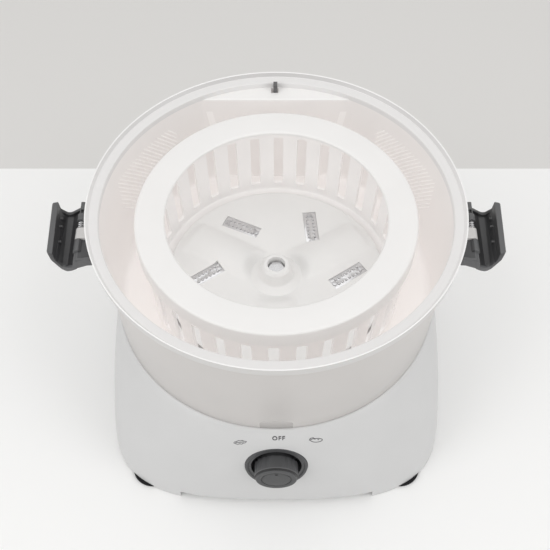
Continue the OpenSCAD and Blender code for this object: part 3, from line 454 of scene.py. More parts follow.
def knobPlastic(name, look):
    # grey plastic with painted shade, near black in the joint round the cap's face and in its dimple and
    # dark in its ring, the cap's face painted darker as shade, and a painted highlight along the body's
    # front edge
    finish = Plastic(name)
    x, y, z = finish.axes()
    up = z - (knobLow.z + knobHigh.z) / 2 * mm
    reach = (x * x + up * up).root()
    front = y < (knobLow.y + look["joint"]) * mm
    face = y < (knobLow.y + look["jointEnd"]) * mm
    # painted shade: the joint round the cap's face is painted near black
    joint = front * (1 - face) * (reach > look["jointR"] * mm)
    # painted shade in the ring groove on the face
    ring = face * (abs(reach - look["ringR"] * mm) < look["ringHalf"] * mm)
    aside = up - look["dimpleUp"] * mm
    # painted shade: the dimple is painted near black
    dimple = face * ((x * x + aside * aside).root() < look["dimpleR"] * mm)
    # painted highlight: a lighter band along the body's front edge
    edge = (y > (knobLow.y + look["joint"]) * mm) * (y < (knobLow.y + look["edgeEnd"]) * mm)
    edge = edge * (reach > look["edgeR"] * mm)
    # painted shade: the cap's face is painted darker than the body
    cap = face * (reach < look["jointR"] * mm)
    plain = finish.mixColour(cap, finish.mottled(look["colour"]), finish.mottled(look["face"]))
    ringShadeEdgeHighlight = finish.mixColour(edge, finish.mixColour(ring, plain, look["dark"]), look["edge"])
    return finish.moulded(finish.mixColour(joint + dimple, ringShadeEdgeHighlight, look["deep"]), look["roughness"])


def latchPlastic(name, look):
    # grey plastic with painted shade down in the latch's hollow and on the web at its front end; the strip
    # along the hollow's floor is left lighter as a painted highlight
    finish = Plastic(name)
    x, y, z = finish.axes()
    out = abs(x) - (pinHigh.x + pinLow.x) / 2 * mm
    up = z - (pinHigh.z + pinLow.z) / 2 * mm
    # painted shade down in the hollow, below the pin and inside the lip
    inside = (out > look["hollowIn"] * mm) * (abs(y) < look["halfLength"] * mm)
    for lean, height in look["hollowPlanes"]:
        inside = inside * (up > out * lean + height * mm)
    below = (up < look["floorUp"] * mm) + (out > look["lipIn"] * mm) * (up < look["lipUp"] * mm)
    # painted highlight: the strip along the hollow's floor sheds most of the painted shade
    strip = (out > look["stripIn"] * mm) * (out < look["stripOut"] * mm)
    # painted shade on the web at the front end, inside the front knuckle
    web = (out < look["webOut"] * mm) * (y < -look["webFrom"] * mm) * (y > -look["halfLength"] * mm)
    dark = web * look["webDark"] + inside * (below > 0.5) * (1 - strip * look["stripLight"]) * look["depth"]
    colour = finish.mixColour(dark, finish.mottled(look["colour"]), look["deep"])
    return finish.moulded(colour, look["roughness"])


def milkyPlastic(name, look):
    # see-through milky plastic, with painted shade on the outside wall, the lip's slope and the rim's skirt,
    # painted highlights on the ribs and the lip's top, painted light on the shelf, and thinner where the
    # deck's key shows through
    finish = Plastic(name)
    x, y, z = finish.axes()
    radius = (x * x + y * y).root()
    outside = radius > (z - baseTop * mm) * slope + (bowlOuter(baseTop) - bowl["wall"] / 2) * mm
    # painted shade: the outside wall below the rim, lugs apart, is painted darker than the inside
    wall = outside * (z < rimLow * mm) * (abs(x) < look["lugFrom"] * mm)
    rim = (z > (rimLow - look["rimBelow"]) * mm) + (abs(x) > look["lugFrom"] * mm)
    square = x * x
    window = (z + square * square * look["cornerDrop"] < look["keyTop"] * mm) * (y < 0)
    window = window * (abs(x) < look["keyHalf"] * mm)
    inside = (z - baseTop * mm) * slope + bowlInner(baseTop) * mm
    # painted highlight: the ribs are painted lighter than the wall
    onRib = (radius < inside - look["ribSkin"] * mm) * (radius > inside - look["ribDeep"] * mm)
    onRib = onRib * (z > look["ribLow"] * mm) * (z < look["ribTop"] * mm)
    # painted shade on the lip's slope, growing towards the back
    lipSlope = (radius > (ledgeOuterR + look["lipStart"]) * mm) * (radius < (rimR - look["lipPlain"]) * mm)
    lipSlope = lipSlope * (z > (ledgeZ + look["lipStart"]) * mm) * (y > 0) * y * (1 / (rimR * mm))
    # painted highlight along the lip's top
    lipTop = (radius > (ledgeOuterR + look["lipTopIn"]) * mm) * (z > (rimTop - look["lipTopDeep"]) * mm)
    # painted shade on the rim's skirt
    skirt = (radius > (rimR - look["skirtDeep"]) * mm) * (z < (rimTop - look["skirtLow"]) * mm)
    # painted light: the shelf is painted lighter than the rim
    onShelf = (radius < (wallTopR - look["shelfIn"]) * mm) * (z < (shelfTop + look["shelfOver"]) * mm)
    inner = finish.mixColour(onRib, finish.mottled(look["colour"], 0.02), look["rib"])
    pale = finish.mixColour(lipSlope, finish.mottled(look["rim"], 0.02), look["lip"])
    pale = finish.mixColour(onShelf, pale, look["shelf"])
    pale = finish.mixColour(skirt, finish.mixColour(lipTop, pale, look["lipTop"]), look["skirt"])
    colour = finish.mixColour(rim, finish.mixColour(wall, inner, finish.mottled(look["outside"])), pale)
    alpha = look["alpha"] - window * look["keyThin"]
    return finish.moulded(colour, look["roughness"], look["grain"], alpha)


def turnedMetal(name, look):
    # metal with fine tool or drawing marks along one axis
    finish = Finish(name)
    marks = finish.noise(300, 4, (1, 1, 12))
    cloud = finish.noise(60, 2)
    colour = finish.mixColour(marks, shaded(look["colour"], 0.86), shaded(look["colour"], 1.08))
    return finish.surface({
        "Base Color": colour,
        "Metallic": look.get("metallic", 1.0),
        "Roughness": look["roughness"] - 0.08 + marks * 0.12 + cloud * 0.06,
        "Normal": finish.bump(marks, 0.012),
    })


def softRubber(name, look):
    # rubber with bloom in broad patches and a dull fine grain
    finish = Finish(name)
    bloom = finish.noise(90, 4)
    grain = finish.noise(2600, 2)
    return finish.surface({
        "Base Color": finish.mixColour(bloom, look["colour"], shaded(look["colour"], 1.7)),
        "Roughness": 0.72 + bloom * 0.16,
        "Specular IOR Level": 0.2,
        "Normal": finish.bump(grain, 0.04),
    })


def woundCopper(name, look):
    # windings: fine stripes, darker where varnish gathers
    finish = Finish(name)
    x, y, z = finish.axes()
    strands = ((x + y * 0.6) * look["strandsPerMetre"]).sine() * 0.5 + 0.5
    varnish = finish.noise(140, 3)
    return finish.surface({
        "Base Color": finish.mixColour(varnish, look["colour"], shaded(look["colour"], 0.6)),
        "Metallic": 0.85,
        "Roughness": 0.3 + varnish * 0.2,
        "Normal": finish.bump(strands, 0.15),
    })


def printedBoard(name, look):
    # solder mask with copper tracks showing through as paler bands
    finish = Finish(name)
    x, y, z = finish.axes()
    wander = finish.noise(120, 1) * 0.006
    track = abs(((x + wander) * look["tracksPerMetre"]).sine()) < 0.35
    cross = abs(((y + wander) * look["tracksPerMetre"] * 0.6).sine()) < 0.25
    pads = finish.noise(700, 0) > 0.66
    traces = finish.mixColour(track * cross, look["colour"], shaded(look["colour"], 1.9))
    return finish.surface({
        "Base Color": finish.mixColour(pads, traces, look["pad"]),
        "Roughness": 0.34 + pads * 0.1,
        "Normal": finish.bump(track, 0.03),
    })


def deckPlastic(name, look):
    # the deck's own white, greyer over its moulded key
    finish = Plastic(name)
    x, y, z = finish.axes()
    key = (y < -look["keyInside"] * mm) * (z > look["keyAbove"] * mm)
    return finish.surface({
        "Base Color": finish.mixColour(key, finish.mottled(look["colour"]), look["keyColour"]),
        "Roughness": 0.4 + finish.mottle * 0.08,
        "Normal": finish.bump(finish.grain, 0.02),
    })


finishes = {
    "base_white": mouldedPlastic("baseWhite", {"colour": (0.62, 0.62, 0.62), "roughness": 0.38}),
    "inner_white": mouldedPlastic("innerWhite", {"colour": (0.78, 0.78, 0.77), "roughness": 0.5}),
    "basket_milky": mouldedPlastic("basketMilky", {
        "colour": (0.93, 0.91, 0.90), "roughness": 0.36, "alpha": 0.95, "grain": 0.008}),
    "collar_white": mouldedPlastic("collarWhite", {"colour": (0.86, 0.85, 0.84), "roughness": 0.4}),
    "disc_white": mouldedPlastic("discWhite", {"colour": (0.79, 0.785, 0.775), "roughness": 0.42}),
    "knob_grey": knobPlastic("knobGrey", {
        "colour": (0.062, 0.063, 0.066),
        # painted shade over the cap's face
        "face": (0.038, 0.039, 0.041),
        # painted highlight along the body's front edge
        "edge": (0.10, 0.101, 0.104),
        # painted shade in the ring groove
        "dark": (0.032, 0.032, 0.034),
        # painted shade in the joint and the dimple
        "deep": (0.012, 0.012, 0.013),
        "joint": 1.75,
        "jointEnd": 0.45,
        "jointR": 12.6,
        "edgeEnd": 2.4,
        "edgeR": 13.3,
        "ringR": 9.4,
        "ringHalf": 0.4,
        "dimpleUp": 7.4,
        "dimpleR": 1.1,
        "roughness": 0.42,
    }),
    "latch_grey": latchPlastic("latchGrey", {
        "colour": (0.10, 0.101, 0.104),
        # painted shade in the hollow: its colour and how strong it is
        "deep": (0.03, 0.03, 0.032),
        "depth": 0.78,
        # painted highlight: the strip on the floor where the shade is lifted
        "stripIn": 7.6,
        "stripOut": 12.4,
        "stripLight": 0.6,
        "halfLength": 21.9,
        "hollowIn": 0.6,
        "hollowPlanes": ((-0.7, -5.4), (0.23, -12.6), (1.31, -26)),
        "floorUp": 0.2,
        "lipIn": 14,
        "lipUp": 4.2,
        # painted shade on the web: where it lies and how strong it is
        "webOut": -0.6,
        "webFrom": 8.2,
        "webDark": 0.7,
        "roughness": 0.46,
    }),
    "mark_grey": mouldedPlastic("markGrey", {"colour": (0.06, 0.06, 0.065), "roughness": 0.6}),
    "feet_rubber": softRubber("feetRubber", {"colour": (0.008, 0.008, 0.009)}),
    "seal_rubber": softRubber("sealRubber", {"colour": (0.06, 0.06, 0.065)}),
    "blade_steel": turnedMetal("bladeSteel", {"colour": (0.68, 0.68, 0.69), "roughness": 0.3}),
    "screw_steel": turnedMetal("screwSteel", {"colour": (0.6, 0.6, 0.61), "roughness": 0.34}),
    "shaft_steel": turnedMetal("shaftSteel", {"colour": (0.64, 0.64, 0.65), "roughness": 0.26}),
    "bearing_steel": turnedMetal("bearingSteel", {"colour": (0.7, 0.7, 0.71), "roughness": 0.22}),
    "motor_steel": turnedMetal("motorSteel", {"colour": (0.52, 0.52, 0.53), "roughness": 0.36}),
    "magnet_dark": turnedMetal("magnetDark", {
        "colour": (0.06, 0.06, 0.065), "roughness": 0.55, "metallic": 0.3}),
    "brush_carbon": turnedMetal("brushCarbon", {
        "colour": (0.045, 0.045, 0.05), "roughness": 0.6, "metallic": 0.2}),
    "bush_brass": turnedMetal("bushBrass", {"colour": (0.72, 0.57, 0.3), "roughness": 0.28}),
    "armature_copper": woundCopper("armatureCopper", {
        "colour": (0.6, 0.27, 0.13), "strandsPerMetre": 9000}),
    "drive_nylon": mouldedPlastic("driveNylon", {"colour": (0.11, 0.108, 0.11), "roughness": 0.5}),
    "gear_nylon": mouldedPlastic("gearNylon", {"colour": (0.76, 0.73, 0.64), "roughness": 0.42}),
    "case_grey": mouldedPlastic("caseGrey", {"colour": (0.4, 0.4, 0.41), "roughness": 0.5}),
    "switch_black": mouldedPlastic("switchBlack", {"colour": (0.035, 0.035, 0.037), "roughness": 0.48}),
    "plunger_red": mouldedPlastic("plungerRed", {"colour": (0.55, 0.05, 0.04), "roughness": 0.45}),
    "board_green": printedBoard("boardGreen", {
        "colour": (0.03, 0.17, 0.07), "pad": (0.6, 0.58, 0.5), "tracksPerMetre": 900}),
    "capacitor_amber": mouldedPlastic("capacitorAmber", {"colour": (0.58, 0.36, 0.06), "roughness": 0.3}),
    "terminal_green": mouldedPlastic("terminalGreen", {"colour": (0.05, 0.3, 0.12), "roughness": 0.45}),
}


def finishAs(piece, slot, body):
    piece.data.materials.clear()
    piece.data.materials.append(finishes[slot])
    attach(piece, body)
    return piece


# the base shell is round at its opening, a rounded square at its foot
print("base shell")
base = {
    "topR": 107,
    "wall": 2.6,
    "flare": 1.86,
    "shoulder": 0.45,
    "shoulderRun": 0.07,
    "frontFlare": 1.6,
    "powerRise": 1.17,
    "sidePower": 2.8,
    "frontPower": 5.0,
    "edgeWidth": 1.08,
    "edgeDepth": 5,
    "footRound": 0.5,
    "skirtDrop": 3.2,
    "rings": 28,
    "steps": 288,
    "ledgeR": 101,
    "ledgeTop": 76,
    "ledgeLow": 73,
    "bezelHole": 20.4,
    "glandHole": 6.05,
    "footHole": 14.4,
    "footHoleTop": 2.1,
    "bossHole": 11.1,
    "bossHoleTop": 3.4,
    "footX": 85.5,
    "footY": 93,
    "notchHalfWidth": 65.5,
    "notchDepth": 20,
    "notchTop": 7,
}
footSpots = [(x, y) for x in (-base["footX"], base["footX"]) for y in (-base["footY"], base["footY"])]
bezelAxisZ = (knobLow.z + knobHigh.z) / 2
glandZ = (glandLow.z + glandHigh.z) / 2


def baseShape(height):
    # half sizes and powers of the outline at a height
    share = (shellHigh.z - height) / (shellHigh.z - shellLow.z)
    share = min(1.0, max(0.0, share))
    spread = 1 - (1 - share) ** base["flare"]
    shoulder = base["shoulder"] * (1 - math.exp(-share / base["shoulderRun"]))
    frontSpread = shoulder + (1 - base["shoulder"]) * (1 - (1 - share) ** base["frontFlare"])
    squareUp = share ** base["powerRise"]
    halfWidth = base["topR"] + (shellHigh.x - base["topR"]) * spread
    halfDepth = base["topR"] + (shellHigh.y - base["topR"]) * frontSpread
    side = 2 + (base["sidePower"] - 2) * squareUp
    front = 2 + (base["frontPower"] - 2) * squareUp
    return halfWidth, halfDepth, side, front


def basePoint(angle, height, inset):
    halfWidth, halfDepth, side, front = baseShape(height)
    warp = (side + front) / 4
    turn = math.atan2(abs(math.sin(angle)) ** warp, abs(math.cos(angle)) ** warp)
    x = (halfWidth - inset) * math.cos(turn) ** (2 / side)
    y = (halfDepth - inset) * math.sin(turn) ** (2 / front)
    return math.copysign(x, math.cos(angle)), math.copysign(y, math.sin(angle))


def baseFrontY(x, height):
    # distance of the outer face from the middle, straight ahead of a point
    halfWidth, halfDepth, side, front = baseShape(height)
    return halfDepth * (1 - (abs(x) / halfWidth) ** side) ** (1 / front)


def baseWall(inset, low, high):
    count = base["rings"]
    return [(base["topR"] - inset, low + (high - low) * step / count, 0) for step in range(count + 1)]


outerR = base["topR"]
innerR = base["topR"] - base["wall"]
skirtLow = shellLow.z - base["skirtDrop"]
corners = [(outerR, skirtLow, base["footRound"])]
corners += baseWall(0, shellLow.z + 1, shellHigh.z - 1)
corners += [(outerR, shellHigh.z, 0.25), (outerR - base["edgeWidth"], shellHigh.z, 0.1)]
corners += [(innerR + 0.4, shellHigh.z - base["edgeDepth"], 2)]
corners += [(innerR, base["ledgeTop"], 0), (base["ledgeR"], base["ledgeTop"], 0)]
corners += [(base["ledgeR"], base["ledgeLow"], 0), (innerR, base["ledgeLow"], 0)]
corners += reversed(baseWall(base["wall"], shellLow.z + 1, base["ledgeLow"] - 1))
corners += [(innerR, skirtLow, base["footRound"])]
shell = lathe("shell", rounded(corners), base["steps"])
for vertex in shell.data.vertices:
    reach = vertex.co.xy.length / mm
    if reach > base["ledgeR"] + 2:
        x, y = basePoint(math.atan2(vertex.co.y, vertex.co.x), vertex.co.z / mm, base["topR"] - reach)
        vertex.co.x = x * mm
        vertex.co.y = y * mm
dish = {
    "lean": 7.5,
    "frontY": 116.4,
    "stretch": 1.09,
    "edgeR": 20.15,
    "flange": 25,
    "flangeThick": 3,
    "flangeTop": 75.5,
    "grooveR": 18.4,
    "grooveWidth": 1.4,
    "grooveDepth": 0.5,
    "recessR": 16.2,
    "recessFloor": 0.2,
    "shaftR": 3.4,
    "leanFrom": 1.5,
    "steps": 192,
}
seatY = bezelHigh.y - dish["flangeThick"]
frontDepth = dish["frontY"] + seatY


def leanFront(piece, start):
    # slopes what lies in front of a depth, as the panel slopes, and stands it on the base
    for vertex in piece.data.vertices:
        ringOutside = vertex.co.xy.length / mm > dish["recessR"] + 0.5
        if vertex.co.z > 0.1 * mm and vertex.co.y < 0 and ringOutside:
            vertex.co.y *= dish["stretch"]
        if vertex.co.z / mm > start:
            vertex.co.z -= math.tan(math.radians(dish["lean"])) * vertex.co.y
    return place(piece, (90, "X"), (0, seatY, bezelAxisZ))


bezelHole = rod("bezelHole", (0, -140, bezelAxisZ), (0, -100, bezelAxisZ), base["bezelHole"], 128)
for vertex in bezelHole.data.vertices:
    below = vertex.co.z - bezelAxisZ * mm
    if below < 0:
        vertex.co.z += below * (dish["stretch"] - 1)
combine(shell, bezelHole)
combine(shell, rod("glandHole", (0, 100, glandZ), (0, 140, glandZ), base["glandHole"], 48))
for x, y in footSpots:
    combine(shell, rod("footHole", (x, y, -1), (x, y, base["footHoleTop"]), base["footHole"], 96))
    combine(shell, rod("bossHole", (x, y, -1), (x, y, base["bossHoleTop"]), base["bossHole"], 96))
for y in (-shellHigh.y, shellHigh.y):
    notchLow = (-base["notchHalfWidth"], y - base["notchDepth"], -1)
    notchHigh = (base["notchHalfWidth"], y + base["notchDepth"], base["notchTop"])
    combine(shell, block("notch", notchLow, notchHigh))
smooth(shell, 28)
finishAs(shell, "base_white", "base")
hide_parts("base_shell")


print("bowl")
bowl = {
    "wall": 2.2,
    "taper": 11.1,
    "lipInset": 1,
    "lipTop": 0.7,
    "lipWidth": 2.3,
    "ledgeWidth": 5.8,
    "ledgeDrop": 3.1,
    "rimHeight": 7,
    "rimSkin": 2.2,
    "rimHollow": 2.4,
    "shelfDrop": 7,
    "shelfThick": 2,
    "shelfIn": 20.1,
    "shelfWall": 1.6,
    "shelfRound": 0.6,
    "seatHalfWidth": 6,
    "coreSkin": 1.1,
    "wayR": 1.95,
    "floorRise": 13,
    "floorRound": 6,
    "sleeveR": 10.5,
    "sleeveHeight": 5,
    "bushR": 6.5,
    "seatR": 81.5,
    "seatWidth": 8,
    "lugFront": -7.4,
    "lugBack": 1.2,
    "lugFace": -0.5,
    "pinR": 1.5,
    "barrelR": 2.8,
    "steps": 240,
}
rimR = bowlHigh.y - bowl["lipInset"]
rimTop = bowlHigh.z
rimLow = rimTop - bowl["rimHeight"]
ledgeZ = rimTop - bowl["ledgeDrop"]
ledgeOuterR = rimR - bowl["lipWidth"]
wallTopR = ledgeOuterR - bowl["ledgeWidth"]
baseTop = shellHigh.z
bowlFoot = bowlLow.z
floorZ = bowlFoot + bowl["floorRise"]
slope = (wallTopR + bowl["wall"] - rimR + bowl["taper"]) / (rimLow - baseTop)


def bowlOuter(height):
    return rimR - bowl["taper"] + (height - baseTop) * slope


def bowlInner(height):
    return bowlOuter(height) - bowl["wall"]


underFloor = floorZ - bowl["wall"]
skinR = rimR - bowl["rimSkin"]
bowlCorners = [
    (bowl["bushR"], underFloor, 0),
    (bowlInner(underFloor), underFloor, 1),
    (bowlInner(bowlFoot), bowlFoot, 0.6),
    (bowlOuter(bowlFoot), bowlFoot, 0.8),
    (bowlOuter(rimLow), rimLow, 0.8),
    (bowlOuter(rimLow), rimLow + bowl["rimHollow"], 0.4),
    (skinR, rimLow + bowl["rimHollow"], 0.4),
    (skinR, rimLow, 0.3),
    (rimR - 0.7, rimLow, 0.5),
    (rimR, rimTop, 0.35),
    (rimR - bowl["lipTop"], rimTop, 0.3),
    (ledgeOuterR, ledgeZ, 0.5),
    (wallTopR, ledgeZ, 0.7),
    (bowlInner(rimLow), rimLow, 0),
    (bowlInner(floorZ + 7), floorZ + 7, 0),
    (bowlInner(floorZ), floorZ, bowl["floorRound"]),
    (bowl["seatR"] + 0.8, floorZ, 0),
    (bowl["seatR"], basketLow.z, 0.5),
    (bowl["seatR"] - bowl["seatWidth"], basketLow.z, 0.5),
    (bowl["seatR"] - bowl["seatWidth"] - 0.8, floorZ, 0),
    (bowl["sleeveR"] + 0.6, floorZ, 0),
    (bowl["sleeveR"], floorZ + bowl["sleeveHeight"], 0.5),
    (bowl["bushR"], floorZ + bowl["sleeveHeight"], 0),
]
bowlBody = lathe("bowlBody", rounded(bowlCorners), bowl["steps"])

# shelf at the back, and the wall under it
shelfTop = rimTop - bowl["shelfDrop"]
shelfFront = rimR - bowl["shelfIn"]
coreLowR = bowlOuter(floorZ) - bowl["coreSkin"]
coreTopR = bowlOuter(rimLow) - bowl["coreSkin"]
core = lathe("core", [
    (1, floorZ - 1), (coreLowR, floorZ - 1), (coreTopR, rimLow), (coreTopR, rimTop - 3), (1, rimTop - 3),
], bowl["steps"], loop=False)
shelf = block("shelf", (-rimR, shelfFront, shelfTop - bowl["shelfThick"]), (rimR, rimR, shelfTop))
wallBack = shelfFront + bowl["shelfWall"]
combine(shelf, block("shelfWall", (-rimR, shelfFront, floorZ - 0.6), (rimR, wallBack, shelfTop)), "UNION")


def onShelfEdge(start, end):
    return all(abs(spot.y - shelfFront) + abs(spot.z - shelfTop) < 0.01 for spot in (start, end))


bevelWhere(shelf, onShelfEdge, bowl["shelfRound"], 3)
seatHalf = bowl["seatHalfWidth"]
springSeat = block("springSeat", (-seatHalf, shelfFront + 1, springLow.z - 2), (seatHalf, rimR, springLow.z))
combine(shelf, springSeat, "UNION")
combine(shelf, core, "INTERSECT")
combine(bowlBody, shelf, "UNION")

# lugs that carry the latches
pinX = (pinLow.x + pinHigh.x) / 2
pinZ = (pinLow.z + pinHigh.z) / 2


def latchLug(side):
    reach = pinX - bowlOuter(pinZ) + bowl["wall"] / 2
    barrel = bowl["barrelR"]
    outline = [
        (bowl["lugFace"], barrel), (bowl["lugFace"], -barrel), (-barrel, -barrel),
        (-reach, -barrel - reach / 2), (-reach, barrel),
    ]
    lug = prism("lug", outline, bowl["lugBack"] - bowl["lugFront"])
    place(lug, (90, "X"), (0, bowl["lugBack"], 0))
    combine(lug, rod("barrel", (0, bowl["lugFront"], 0), (0, bowl["lugBack"], 0), barrel, 48), "UNION")
    combine(lug, rod("bore", (0, -20, 0), (0, 20, 0), bowl["pinR"], 32))
    return place(atSide(lug, side), None, (side * pinX, 0, pinZ))


for side in (-1, 1):
    combine(bowlBody, latchLug(side), "UNION")

# way of the push rod
rodY = (springLow.y + springHigh.y) / 2
peg = {"left": -3.1, "right": 1, "top": 175.2, "depth": 3.9, "gap": 0.35}
pegBack = rodHigh.y
for low, high in ((floorZ - 4, floorZ + 8), (springLow.z - 4, springLow.z + 1)):
    combine(bowlBody, rod("rodWay", (0, rodY, low), (0, rodY, high), bowl["wayR"], 32))
combine(bowlBody, block(
    "pegWay",
    (peg["left"] - peg["gap"], pegBack - peg["depth"] - peg["gap"], shelfTop - 3),
    (peg["right"] + peg["gap"], pegBack + peg["gap"], shelfTop + 4)))
smooth(bowlBody, 30)
finishes["bowl_milky"] = milkyPlastic("bowlMilky", {
    "colour": (0.93, 0.90, 0.885),
    # painted shade on the outside wall
    "outside": (0.59, 0.57, 0.555),
    "rim": (0.80, 0.79, 0.785),
    "rimBelow": 0.4,
    "lugFrom": 117.5,
    # painted highlight on the ribs
    "rib": (1.0, 0.975, 0.96),
    "ribLow": 118,
    "ribTop": 158,
    "ribSkin": 0.15,
    "ribDeep": 2,
    # painted shade on the lip's slope
    "lip": (0.60, 0.59, 0.585),
    "lipStart": 0.2,
    "lipPlain": 0.8,
    # painted highlight along the lip's top
    "lipTop": (0.95, 0.945, 0.94),
    "lipTopIn": 1.2,
    "lipTopDeep": 0.4,
    # painted shade on the rim's skirt
    "skirt": (0.63, 0.62, 0.61),
    "skirtDeep": 0.75,
    "skirtLow": 0.7,
    # painted light on the shelf
    "shelf": (0.90, 0.89, 0.88),
    "shelfIn": 0.1,
    "shelfOver": 0.3,
    "alpha": 0.94,
    "roughness": 0.34,
    "grain": 0.008,
    "keyTop": 96.5,
    "keyHalf": 10.4,
    "keyThin": 0.3,
    "cornerDrop": 3.2e5,
})
finishAs(bowlBody, "bowl_milky", "bowl")
bowlBody.visible_shadow = False  # the milky wall lets the room's light in
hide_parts("bowl")


print("ribs")
ribs = {
    "count": 24,
    "firstAngle": 47.5,
    "pitch": 1.75,
    "slant": 0.45,
    "sideAngle": 17.5,
    "farAngle": 51,
    "top": 157.5,
    "low": 120,
    "width": 1.5,
    "proud": 0.6,
    "cells": 10,
}


def ribBar(topAngle):
    # one rib: degrees round the wall grow by the slant as it runs down
    high = ribs["top"] - max(0, ribs["sideAngle"] - topAngle) / ribs["slant"]
    low = max(ribs["low"], ribs["top"] - (ribs["farAngle"] - topAngle) / ribs["slant"])
    bpy.ops.mesh.primitive_grid_add(x_subdivisions=1, y_subdivisions=ribs["cells"], size=1)
    bar = takeNew("rib")
    editAll(bar)
    bpy.ops.mesh.extrude_region_move(TRANSFORM_OT_translate={"value": (0, 0, 1)})
    bpy.ops.object.mode_set(mode="OBJECT")
    for vertex in bar.data.vertices:
        along = vertex.co.y + 0.5
        height = high + (low - high) * along
        taper = min(1, along * 6, (1 - along) * 6)
        width = ribs["width"] * (1 - 0.5 * vertex.co.z)
        radius = bowlInner(height) + 0.3
        angle = math.radians(topAngle + (ribs["top"] - height) * ribs["slant"])
        angle += vertex.co.x * width / radius
        radius -= vertex.co.z * (0.3 + ribs["proud"] * taper)
        vertex.co = Vector((radius * math.cos(angle), radius * math.sin(angle), height)) * mm
    return bar


def ribPatch(side):
    clearSelection()
    bars = [ribBar(ribs["firstAngle"] - ribs["pitch"] * number) for number in range(ribs["count"])]
    patch = atSide(joined(bars, "wallRibs" + ("Left" if side < 0 else "Right")), side)
    closeMesh(patch, False)
    return smooth(patch)


for side in (-1, 1):
    patch = finishAs(ribPatch(side), "bowl_milky", "bowl")
    patch.visible_shadow = False


print("collar, basket and disc")
collar = {"hole": 69, "skirt": 1.5, "thick": 2.5, "steps": 240}
collarR = collarHigh.y
underCollar = collarHigh.z - collar["thick"]
collarRing = lathe("collarRing", rounded([
    (collar["hole"] + 0.3, underCollar, 0.3),
    (collarR - collar["skirt"], underCollar, 0.8),
    (collarR - collar["skirt"], collarLow.z, 0.4),
    (collarR, collarLow.z, 0.5),
    (collarR, collarHigh.z, 1.6),
    (collar["hole"], collarHigh.z, 1.3),
], arcSteps=6), collar["steps"])
smooth(collarRing)
finishAs(collarRing, "collar_white", "collar")
collarRing.visible_shadow = False
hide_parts("collar")

basket = {
    "wall": 2,
    "footWidth": 8,
    "floor": 2.2,
    "windows": 32,
    "windowTurn": -1,
    "windowWidth": 6.5,
    "windowRound": 1.3,
    "sill": 8,
    "head": 17,
    "steps": 256,
}
basketTopR = basketHigh.y
basketFloor = basketLow.z + basket["floor"]
basketBody = lathe("basketBody", rounded([
    (bowl["seatR"] - basket["footWidth"], basketLow.z, 0.4),
    (bowl["seatR"], basketLow.z, 0.8),
    (basketTopR, basketHigh.z, 0.3),
    (basketTopR - basket["wall"], basketHigh.z, 0.3),
    (bowl["seatR"] - basket["wall"], basketFloor, 1.5),
    (bowl["seatR"] - basket["footWidth"], basketFloor, 0.5),
]), basket["steps"])
halfWindow = basket["windowWidth"] / 2
window = block("window", (bowl["seatR"] - 5, -halfWindow, basketLow.z + basket["sill"]),
               (bowl["seatR"] + 7, halfWindow, basketHigh.z - basket["head"]))
bevelWhere(window, lambda start, end: abs(start.x - end.x) > 1, basket["windowRound"], 4)
windows = around(window, basket["windows"], basket["windowTurn"] - 90)
combine(basketBody, windows)
smooth(basketBody)
finishAs(basketBody, "basket_milky", "basket")
basketBody.visible_shadow = False
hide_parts("basket")

disc = {
    "thick": 2.5,
    "hubR": 13,
    "hubHeight": 13,
    "humps": 3,
    "humpR": 26,
    "humpSink": 22,
    "humpInner": 14,
    "humpTurn": 0.25,
    "fadeIn": 9,
    "fadeOut": 7,
    "pockets": 6,
    "pocketHalf": (13.1, 4.6),
    "pocketDepth": 1.3,
    "pocketTurn": 35,
    "pocketOut": 48,
    "boreR": 5.9,
    "steps": 240,
}
discR = discHigh.x
discTop = discLow.z + disc["thick"]
discCorners = [
    (disc["boreR"], discLow.z, 0),
    (discR, discLow.z, 0.4),
    (discR, discTop, 0.9),
]
discCorners += [(radius, discTop, 0) for radius in range(70, 18, -2)]
discCorners += [
    (disc["hubR"] + 4, discTop, 1),
    (disc["hubR"] - 1.5, discTop + 3, 1.5),
    (disc["hubR"] - 3.4, discTop + disc["hubHeight"] - 2, 0.8),
    (disc["hubR"] - 5, discTop + disc["hubHeight"], 0.8),
    (disc["boreR"], discTop + disc["hubHeight"], 0.3),
]
discBody = lathe("discBody", rounded(discCorners), disc["steps"])
for vertex in discBody.data.vertices:
    radius = vertex.co.xy.length / mm
    if vertex.co.z / mm < discTop - 0.05 or radius < disc["hubR"] + 3.2:
        continue
    swing = math.degrees(math.atan2(vertex.co.y, vertex.co.x)) * disc["humps"] / 360 - disc["humpTurn"]
    swing = (swing - round(swing)) * 2 * math.pi / disc["humps"]
    across = radius * math.sin(swing)
    crest = math.sqrt(max(0, disc["humpR"] ** 2 - across ** 2)) - disc["humpSink"]
    fromHub = (radius - disc["humpInner"] - 2) / disc["fadeIn"]
    fromRim = (discR - 1.5 - radius) / disc["fadeOut"]
    ends = min(1, max(0, fromHub), max(0, fromRim))
    fade = ends * ends * (3 - 2 * ends)
    if abs(swing) < 1 and crest > -2:
        # the foot of the hump runs out softly
        lift = crest if crest > 0.6 else 0.6 * math.exp((crest - 0.6) / 0.6)
        vertex.co.z += max(0, lift) * fade * mm
halfLength, halfWidth = disc["pocketHalf"]
for number in range(disc["pockets"]):
    pocket = block("pocket", (-halfLength, -halfWidth, -disc["pocketDepth"]), (halfLength, halfWidth, 7))
    place(pocket, (disc["pocketTurn"], "Z"), (disc["pocketOut"], 0, discTop))
    place(pocket, (360 / disc["pockets"] * number, "Z"))
    combine(discBody, pocket)
smooth(discBody, 30)
finishAs(discBody, "disc_white", "disc")
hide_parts("peeling_disc")
finishAs(dress("disc_blades", "rasps", 0.15), "blade_steel", "disc")
finishAs(dress("blade_rivets", "rivets", 0.12), "screw_steel", "disc")


